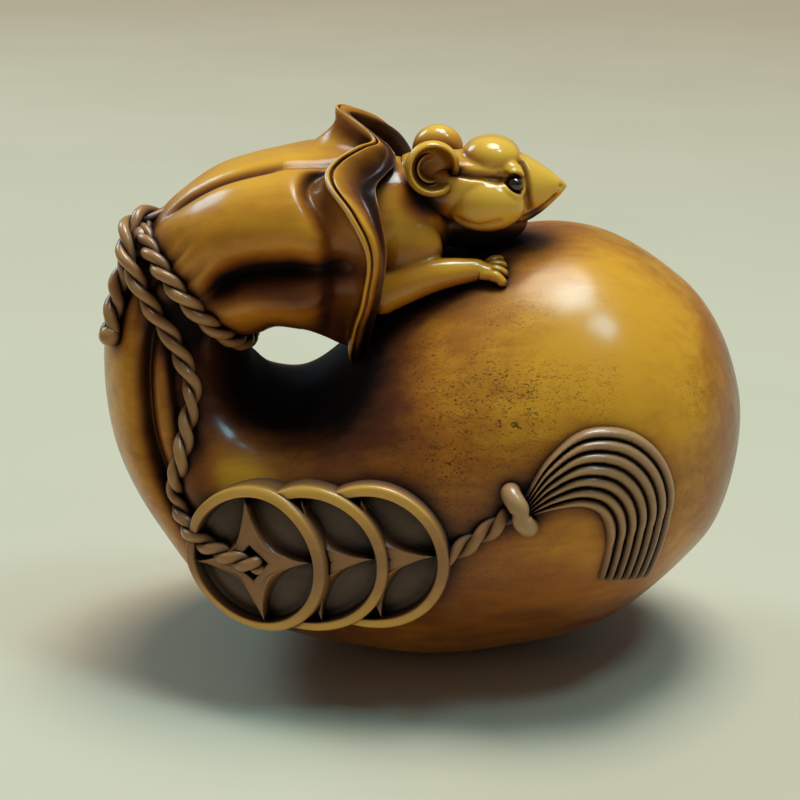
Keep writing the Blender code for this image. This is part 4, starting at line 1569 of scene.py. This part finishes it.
@dataclass
class Mouse:
    """The mouse: head with its ears and eyes, body and both forearms.

    Places are given for the far side, with y from the mouse's middle plane. A row of the
    head holds x, z, half height and half width. A row of ear_back holds a share of the
    ear's radius, a height and how deep the opening towards the eye cuts into it. A hollow
    or lid holds what Bench.press takes.
    """

    middle: float = -2.6
    turn: float = -4.0
    head_rows: tuple = (
        (-1.4, 38.2, 2.0, 2.5),
        (0.5, 38.2, 2.55, 3.4),
        (2.5, 38.0, 2.6, 3.7),
        (4.5, 38.0, 2.8, 3.6),
        (6.3, 38.0, 2.75, 3.0),
        (7.7, 37.8, 2.55, 2.35),
        (9.0, 37.8, 1.8, 1.6),
        (10.1, 37.9, 0.9, 0.8),
        (10.7, 38.0, 0.35, 0.3),
    )
    head_ends: Flat = (1.2, 0.25)
    head_rings: int = 40
    head_sides: int = 40
    head_voxel: float = 0.11
    body_voxel: float = 0.16
    lumps: tuple[tuple[Spot, Spot], ...] = (
        ((5.2, 0.45, 40.2), (2.2, 2.25, 1.55)),
        ((4.9, 2.35, 37.0), (2.9, 1.9, 2.05)),
        ((6.7, 2.0, 39.2), (1.0, 0.8, 0.95)),
    )
    face_lines: tuple[Line, ...] = (
        Line(((2.6, 39.55), (3.8, 39.35), (5.1, 39.2), (6.2, 39.0)), 0.50, 0.32),
        Line(((7.5, 40.0), (7.75, 39.4), (7.9, 38.6), (8.0, 37.6), (8.2, 36.6)), 0.34, 0.26),
        Line(((10.1, 37.35), (9.3, 36.7), (8.5, 36.2), (7.8, 35.9)), 0.34, 0.24),
    )
    lid_lines: tuple[Line, ...] = (
        Line(((5.9, 39.3), (6.5, 39.3), (7.1, 39.1)), 0.25, 0.18),
        Line(((3.0, 36.0), (4.4, 35.6), (5.9, 36.0)), 0.22, 0.3),
    )
    eye: Spot = (7.05, 2.65, 38.55)
    eye_radius: float = 0.55
    eye_hollow: Flat = (0.55, 0.62)
    eye_lid: Spot = (-0.20, 0.20, 0.92)
    eye_names: tuple[tuple[Side, str], ...] = ((Side.NEAR, "bead_near"), (Side.FAR, "bead_far"))
    nostril: Spot = (10.4, 0.45, 38.1)
    nostril_hollow: Flat = (0.18, 0.17)
    ear_centre: Spot = (1.1, 4.1, 39.9)
    ear_radius: float = 2.05
    ear_lean: Flat = (0.18, 0.12)
    ear_sides: int = 96
    ear_back: tuple = ((0.45, -1.6, 0.0), (0.8, -1.4, 0.1), (0.95, -0.6, 0.7), (1.0, -0.15, 1.0))
    ear_hollow: float = 1.05
    torso: tuple[Spot, Spot] = ((-2.9, 0.0, 35.2), (5.3, 5.0, 5.0))
    throat: tuple[Spot, Spot] = ((3.8, 0.0, 35.3), (4.3, 1.9, 2.2))
    shoulder: tuple[Spot, Spot] = ((-1.2, 3.4, 33.8), (2.8, 1.8, 2.7))
    elbow: Spot = (-2.9, 4.6, 30.7)
    wrist: Spot = (4.1, 4.5, 32.5)
    arm_radii: Flat = (1.55, 0.85)
    arm_sink: float = 0.35
    wrist_radius: float = 0.8
    palm: tuple[Spot, Spot] = ((0.6, 0.0, -0.12), (1.05, 0.98, 0.62))
    finger: float = 0.40
    finger_reach: Flat = (1.75, 0.40)
    spread: tuple = (-0.75, -0.25, 0.25, 0.75)
    tip_shares: Spot = (0.85, 0.55, 0.2)

    def beside(self, point: Spot, side: Side) -> np.ndarray:
        """Place a point of the mouse on one of its sides."""
        return np.array((point[0], self.middle + side.value * point[1], point[2]))

    def turned(self, points: np.ndarray) -> np.ndarray:
        """Turn the head a little towards the front.

        Args:
            points: Points of the head.

        Returns:
            The turned points.
        """
        centre = np.array((self.head_rows[1][0], self.middle, 0.0))
        angle = math.radians(self.turn)
        cosine, sine = math.cos(angle), math.sin(angle)
        spin = np.array(((cosine, -sine, 0), (sine, cosine, 0), (0, 0, 1)))
        return (points - centre) @ spin.T + centre

    def carve(self, item: bpy.types.Object) -> None:
        """Press the brows, lids, muzzle, mouth, cheeks and nostrils into the head.

        Args:
            item: The head.
        """
        skin = Skin([item])
        for side in Side:
            for line in self.face_lines:
                line.press(item, skin, side)
            Bench.press(item, self.beside(self.eye, side), *self.eye_hollow)
            Bench.press(item, self.beside(self.eye, side), *self.eye_lid)
            for line in self.lid_lines:
                line.press(item, skin, side)
            Bench.press(item, self.beside(self.nostril, side), *self.nostril_hollow)

    def head(self) -> bpy.types.Object:
        """Model the head: skull, brows, cheeks and lids, fused and then carved.

        Returns:
            The piece.
        """
        at = np.linspace(0, len(self.head_rows) - 1, self.head_rings)
        angles = all_round(self.head_sides)
        rings = []
        for x, z, high, wide in smooth_line(self.head_rows, at):
            y = self.middle + wide * np.cos(angles)
            rings.append(np.stack((np.full(self.head_sides, x), y, z + high * np.sin(angles)), 1))
        back, nose = self.head_rows[0], self.head_rows[-1]
        items = [Bench.shell("head", rings, (back[0] - self.head_ends[0], self.middle, back[1]),
                             (nose[0] + self.head_ends[1], self.middle, nose[1]))]
        for side in Side:
            for centre, radii in self.lumps:
                items.append(Bench.ball("lump", self.beside(centre, side), radii))
        item = Bench.join("mouse_head", items)
        Bench.fuse(item, self.head_voxel, 5)
        self.carve(item)
        Bench.modify(item, "SMOOTH", factor=0.5, iterations=1)
        Bench.move(item, self.turned(Bench.points(item)))
        return item

    def ear(self, side: Side) -> bpy.types.Object:
        """Model one ear: a rolled ring, a curled inner fold and the opening towards the eye.

        Args:
            side: The side of the head that it is on.

        Returns:
            The ear.
        """
        centre = self.beside(self.ear_centre, side)
        axis = unit(np.array((self.ear_lean[0], side.value, self.ear_lean[1])))
        along = unit(RIGHT - axis * axis[0])
        up = np.cross(along, axis) * -side.value
        up *= math.copysign(1.0, up[2])
        angles = all_round(self.ear_sides)
        degrees = np.degrees(angles)
        gate = bell(apart(degrees, -20), 0, 30)
        curl = bell(degrees, 195, 95, 4)
        rings = [(share, height - notch * gate) for share, height, notch in self.ear_back]
        # From the rolled ring inwards, over the inner fold and down into the dish.
        for share in np.linspace(0.985, 0.06, 34):
            roll = 0.50 * bell(share, 0.84, 0.13) * (1 - gate) - 1.0 * gate * min(1.0, share / 0.7) ** 3
            fold = 0.80 * bell(share, 0.47 - 0.06 * np.cos(angles), 0.12) * curl
            rings.append((share, roll + fold - self.ear_hollow * (1 - min(1.0, share / 0.78) ** 4)))
        flat = along * np.cos(angles)[:, None] + up * np.sin(angles)[:, None]
        flat = flat * self.ear_radius
        points = [centre + axis * height[:, None] + flat * share for share, height in rings]
        back, front = centre + axis * self.ear_back[0][1], centre - axis * self.ear_hollow
        item = Bench.shell("mouse_ear", points, back, front)
        Bench.move(item, self.turned(Bench.points(item)))
        return item

    def ears(self) -> bpy.types.Object:
        """Model both ears as one piece."""
        return Bench.join("mouse_ears", [self.ear(side) for side in Side])

    def laid(self, point: Spot, radius: float, skin: Skin, side: Side) -> np.ndarray:
        """Place a joint of an arm, no lower than the sack under it allows.

        Args:
            point: The joint.
            radius: The arm's radius there.
            skin: The surface of the sack.
            side: The side of the arm.

        Returns:
            The joint's place.
        """
        joint = self.beside(point, side)
        joint[2] = max(joint[2], skin.top(joint[0], joint[1]) + radius - self.arm_sink)
        return joint

    def arm(self, skin: Skin, side: Side) -> list[bpy.types.Object]:
        """Model one forearm, as carved against the sack.

        Args:
            skin: The surface of the sack.
            side: The side of the arm.

        Returns:
            The forms that it is fused from.
        """
        big, small = self.arm_radii
        elbow, wrist = self.laid(self.elbow, big, skin, side), self.laid(self.wrist, small, skin, side)
        middle = (elbow + wrist) / 2 + np.array((0.2, side.value * 0.25, 0.5))
        path = even_path(np.array((elbow, middle, wrist)), 0.35)
        share = np.linspace(0, 1, len(path))
        radii = big + (small - big) * share**0.8 + 0.12 * np.sin(math.pi * share)
        return [
            Bench.tube("arm", path, radii, False, 8),
            Bench.ball("arm", elbow, (big,) * 3),
            Bench.ball("arm", wrist, (self.wrist_radius,) * 3),
            Bench.ball("arm", wrist + np.array(self.palm[0]), self.palm[1]),
        ]

    def fingers(self, skin: Skin, side: Side) -> list[bpy.types.Object]:
        """Model the four fingers of one paw, with their knuckles and tapered tips.

        Args:
            skin: The surface of the sack.
            side: The side of the paw.

        Returns:
            The fingers.
        """
        palm = self.laid(self.wrist, self.arm_radii[1], skin, side) + np.array(self.palm[0])
        reach, shorter = self.finger_reach
        items = []
        for spread in self.spread:
            root = palm + np.array((-0.35, spread * 0.7, -0.12))
            x, y = palm[0] + reach - shorter * abs(spread), palm[1] + spread * reach
            tip = np.array((x, y, skin.top(x, y) + 0.10))
            knuckle = 0.4 * root + 0.6 * tip + np.array((0.0, 0.0, 0.36))
            path = even_path(np.array((root, knuckle, tip)), 0.12)
            share = np.linspace(0, 1, len(path))
            radii = self.finger * (1.05 - 0.15 * share + 0.16 * bell(share, 0.5, 0.12))
            radii[-3:] *= self.tip_shares
            items.append(Bench.tube("finger", path, radii))
        return items

    def paws(self, skin: Skin) -> bpy.types.Object:
        """Model the fingers of both paws as one piece."""
        fingers = [finger for side in Side for finger in self.fingers(skin, side)]
        return Bench.join("mouse_paws", fingers)

    def body(self, skin: Skin) -> bpy.types.Object:
        """Model the body and both arms as one skin.

        Args:
            skin: The surface of the sack.

        Returns:
            The piece.
        """
        items = []
        for centre, radii in (self.torso, self.throat):
            items.append(Bench.ball("body", self.beside(centre, Side.FAR), radii))
        for side in Side:
            items.append(Bench.ball("body", self.beside(self.shoulder[0], side), self.shoulder[1]))
            items.extend(self.arm(skin, side))
        item = Bench.join("mouse_body", items)
        Bench.fuse(item, self.body_voxel, 4)
        return item

    def eyes(self) -> list[bpy.types.Object]:
        """Model the two inlaid beads, each a little flattened outwards.

        Returns:
            The near and the far bead.
        """
        items = []
        for side, name in self.eye_names:
            centre = self.turned(self.beside(self.eye, side)[None])[0]
            item = Bench.ball(name, centre, (self.eye_radius,) * 3, 40)
            Bench.press(item, centre - FRONT * (side.value * self.eye_radius), 0.03, 0.25)
            items.append(item)
        return items


@dataclass(frozen=True)
class Lamp:
    """One soft square light, in metres and watts, that looks at a point."""

    name: str
    spot: Spot
    size: float
    power: float
    colour: Colour
    aim: Spot = (0.0, 0.0, 0.02)

    def hang(self) -> None:
        """Add the light and turn it to its aim."""
        bpy.ops.object.light_add(type="AREA", location=self.spot)
        lamp = bpy.context.object
        lamp.name = self.name
        lamp.data.size = self.size
        lamp.data.energy = self.power
        lamp.data.color = self.colour
        lamp.rotation_euler = (Vector(self.aim) - Vector(self.spot)).to_track_quat("-Z", "Y").to_euler()


@dataclass
class Studio:
    """The floor, the soft lights and the camera of the photograph.

    lift is the camera's angle above level in degrees, and pixels its focal length on an
    image that is frame_pixels wide. The key light is a far one, key_width degrees wide.
    """

    lift: float = 17.0
    distance: float = 150.0
    pixels: float = 1899.0
    frame_pixels: float = 800.0
    sensor: float = 36.0
    target: Spot = (-1.58, 0.0, 20.3)
    floor_size: float = 6.0
    floor_back: float = 1.5
    key_towards: Spot = (0.08, 0.20, 0.98)
    key_strength: float = 1.95
    key_width: float = 27.0
    key_colour: Colour = (1.0, 0.91, 0.82)
    room_colour: Colour = (0.84, 0.90, 0.95)
    room_strength: float = 0.14
    lamps: tuple[Lamp, ...] = (
        Lamp("window", (0.075, 0.02, 0.44), 0.14, 0.85, (0.42, 0.80, 1.0)),
        Lamp("side_window", (0.18, -0.085, 0.40), 0.08, 0.45, (0.42, 0.80, 1.0)),
        Lamp("back_window", (-0.36, 0.30, 0.37), 0.20, 1.25, (0.50, 0.82, 1.0), (0.0, 0.0, 0.03)),
    )

    def build(self) -> None:
        """Set up the floor, the lights and the camera."""
        Bench.clear()
        bpy.ops.mesh.primitive_plane_add(size=self.floor_size, location=(0.0, self.floor_back, 0.0))
        floor = bpy.context.object
        floor.name = "ground"
        bpy.ops.object.transform_apply(location=True, rotation=True, scale=True)
        floor.data.materials.append(PlainFinish().material())
        self.key_light()
        for lamp in self.lamps:
            lamp.hang()
        world = bpy.data.worlds.new("room")
        world.use_nodes = True
        background = world.node_tree.nodes["Background"].inputs
        background["Color"].default_value = (*self.room_colour, 1.0)
        background["Strength"].default_value = self.room_strength
        bpy.context.scene.world = world
        bpy.context.scene.view_settings.view_transform = "Standard"
        self.camera()

    def key_light(self) -> None:
        """Add the far soft light, as wide as a ceiling panel looks."""
        bpy.ops.object.light_add(type="SUN", location=(0.0, 0.0, 0.5))
        lamp = bpy.context.object
        lamp.name = "key"
        lamp.data.energy = self.key_strength
        lamp.data.angle = math.radians(self.key_width)
        lamp.data.color = self.key_colour
        lamp.rotation_euler = Vector(self.key_towards).to_track_quat("Z", "Y").to_euler()

    def camera(self) -> None:
        """Place the camera at the photograph's height and distance."""
        angle = math.radians(self.lift)
        back = np.array((0.0, -math.cos(angle), math.sin(angle)))
        spot = place(np.array(self.target) + back * self.distance)
        bpy.ops.object.camera_add(location=tuple(spot), rotation=(math.pi / 2 - angle, 0.0, 0.0))
        camera = bpy.context.object
        camera.name = "view"
        camera.data.sensor_width = self.sensor
        camera.data.lens = self.sensor * self.pixels / self.frame_pixels
        camera.data.clip_start = 0.005
        bpy.context.scene.camera = camera


BODY_WOOD = WoodFinish(
    name="sack_wood",
    stains_and_shade=(
        # Staining and painted shade in the saddle under the mouth, near and far side.
        StainShadeAndLight((-7.5, -6.0, 24.0), (12.0, 17.0, 7.5), 1.7),
        StainShadeAndLight((-8.0, 6.0, 24.0), (12.0, 14.0, 7.5), 1.2),
        StainShadeAndLight((-2.0, -14.0, 19.0), (13.0, 12.0, 10.0), 0.28),
        # Painted shade over the lower front.
        StainShadeAndLight((0.0, -14.0, 8.0), (20.0, 12.0, 8.0), 0.40),
        # Painted shade in the deep gap of the tie behind the rope.
        StainShadeAndLight((-18.0, -8.0, 28.5), (3.2, 5.0, 4.0), 1.5),
        StainShadeAndLight((-16.5, -10.0, 19.0), (2.2, 8.0, 8.0), 0.5),
        # Painted shade on the lower left end.
        StainShadeAndLight((-23.5, -3.0, 10.0), (7.0, 10.0, 10.0), 1.0),
        StainShadeAndLight((24.5, -4.0, 19.0), (7.0, 14.0, 17.0), 0.50),
        # Darker towards the underside.
        StainShadeAndLight((1.8, -4.0, -1.0), (24.0, 24.0, 9.0), 1.35),
    ),
    worn_and_lit=(
        StainShadeAndLight((13.0, -10.0, 26.0), (12.0, 13.0, 12.0), 0.52),
        # A painted highlight: paler where the saddle's highlight falls, which also keeps the coat there.
        StainShadeAndLight((-13.0, -12.0, 16.8), (3.6, 6.0, 3.4), 0.85),
        StainShadeAndLight((-21.5, -4.0, 23.0), (4.0, 8.0, 8.0), 0.30),
        # A paler underside, with less painted recess shade near the ground.
        StainShadeAndLight((1.8, -4.0, -1.0), (24.0, 24.0, 13.0), 1.25),
    ),
    crazed=(StainShadeAndLight((3.0, -14.0, 23.0), (11.0, 9.0, 9.0), 1.0),),
)
NECK_WOOD = WoodFinish(
    name="mouth_wood",
    base_stain=0.18,
    stains_and_shade=(
        # Painted shade, with some staining, in the dip before the lip, the deep front groove and the dark
        # gather by the tie.
        StainShadeAndLight((-5.6, -11.0, 33.0), (2.8, 4.0, 4.4), 0.30),
        StainShadeAndLight((-8.0, -9.0, 29.0), (7.0, 6.0, 3.4), 0.35),
        StainShadeAndLight((-15.5, -9.0, 25.5), (4.5, 6.0, 3.0), 1.4),
        StainShadeAndLight((-9.5, -11.0, 31.2), (7.0, 4.0, 1.6), 0.6),
    ),
    worn_and_lit=(StainShadeAndLight((-13.0, -4.0, 40.0), (8.0, 8.0, 3.6), 0.40),),
    pores=0.25,
    grain=0.7,
    settled=1.1,
)
MOUSE_WOOD = WoodFinish(
    name="mouse_wood",
    light=(0.95, 0.50, 0.055),
    middle=(0.50, 0.165, 0.014),
    base_stain=0.08,
    patchiness=0.35,
    stains_and_shade=(
        # Painted shade, with some grime, in the gap under the head and the chin.
        StainShadeAndLight((4.5, -3.0, 34.3), (5.5, 5.0, 2.0), 1.6),
        StainShadeAndLight((8.6, -3.4, 35.9), (1.4, 2.6, 1.2), 1.2),
        # Painted shade below the near ear.
        StainShadeAndLight((0.3, -5.8, 37.2), (2.4, 2.6, 1.6), 1.2),
        StainShadeAndLight((-1.0, -8.0, 33.6), (4.0, 4.0, 3.2), 0.40),
    ),
    narrow=0.8,
    wide=3.4,
    wide_share=1.1,
    pores=0.1,
    grain=0.4,
    roughness=0.28,
    coat=0.7,
    coat_roughness=0.13,
)
LIMB_WOOD = replace(
    MOUSE_WOOD,
    name="limb_wood",
    light=(0.82, 0.37, 0.028),
    middle=(0.52, 0.165, 0.012),
    base_stain=0.0,
)
COIN_WOOD = WoodFinish(
    name="coin_wood",
    light=(0.84, 0.43, 0.070),
    middle=(0.34, 0.138, 0.046),
    deep=(0.135, 0.064, 0.032),
    base_stain=0.42,
    patchiness=0.3,
    narrow=0.9,
    wide=3.0,
    wide_share=0.6,
    roughness=0.34,
    coat=0.7,
    coat_roughness=0.22,
    pores=0.0,
    grain=0.45,
    settled=0.55,
    gloss=0.15,
)
ROPE_WOOD = replace(
    COIN_WOOD,
    name="rope_wood",
    light=(0.62, 0.31, 0.095),
    middle=(0.32, 0.130, 0.046),
    base_stain=0.27,
)
TASSEL_WOOD = replace(
    COIN_WOOD,
    name="tassel_wood",
    light=(0.64, 0.36, 0.15),
    middle=(0.31, 0.145, 0.060),
    coat=0.8,
    base_stain=0.25,
    # Darker towards the tassel's lower end.
    stains_and_shade=(StainShadeAndLight((15.5, -12.0, 10.0), (7.0, 9.0, 8.0), 0.45),),
)


def main() -> None:
    """Build the carving piece by piece and dress it."""
    logging.basicConfig(level=logging.INFO, format="%(message)s")
    Studio().build()
    sack = Sack()
    body = sack.build()
    mouth = Mouth().build(sack)
    skin = Skin([body, mouth])
    coins = Coins().build(skin)
    rope = Ropes().build(sack, skin, Skin([body, mouth] + coins))
    tassel = Tassel().build(skin)
    lobe = Skin([body])
    mouse = Mouse()
    for item, finish in (
        (body, BODY_WOOD),
        (mouth, NECK_WOOD),
        (Bench.join("coins", coins), COIN_WOOD),
        (rope, ROPE_WOOD),
        (Bench.join("tassel", tassel), TASSEL_WOOD),
        (mouse.body(lobe), LIMB_WOOD),
        (mouse.head(), MOUSE_WOOD),
        (mouse.ears(), MOUSE_WOOD),
        (mouse.paws(lobe), LIMB_WOOD),
    ):
        hand_in(item, finish, "carving")
    for bead, node in zip(mouse.eyes(), ("eye_near", "eye_far")):
        hand_in(bead, HornFinish(), node)


if __name__ == "__main__":
    main()
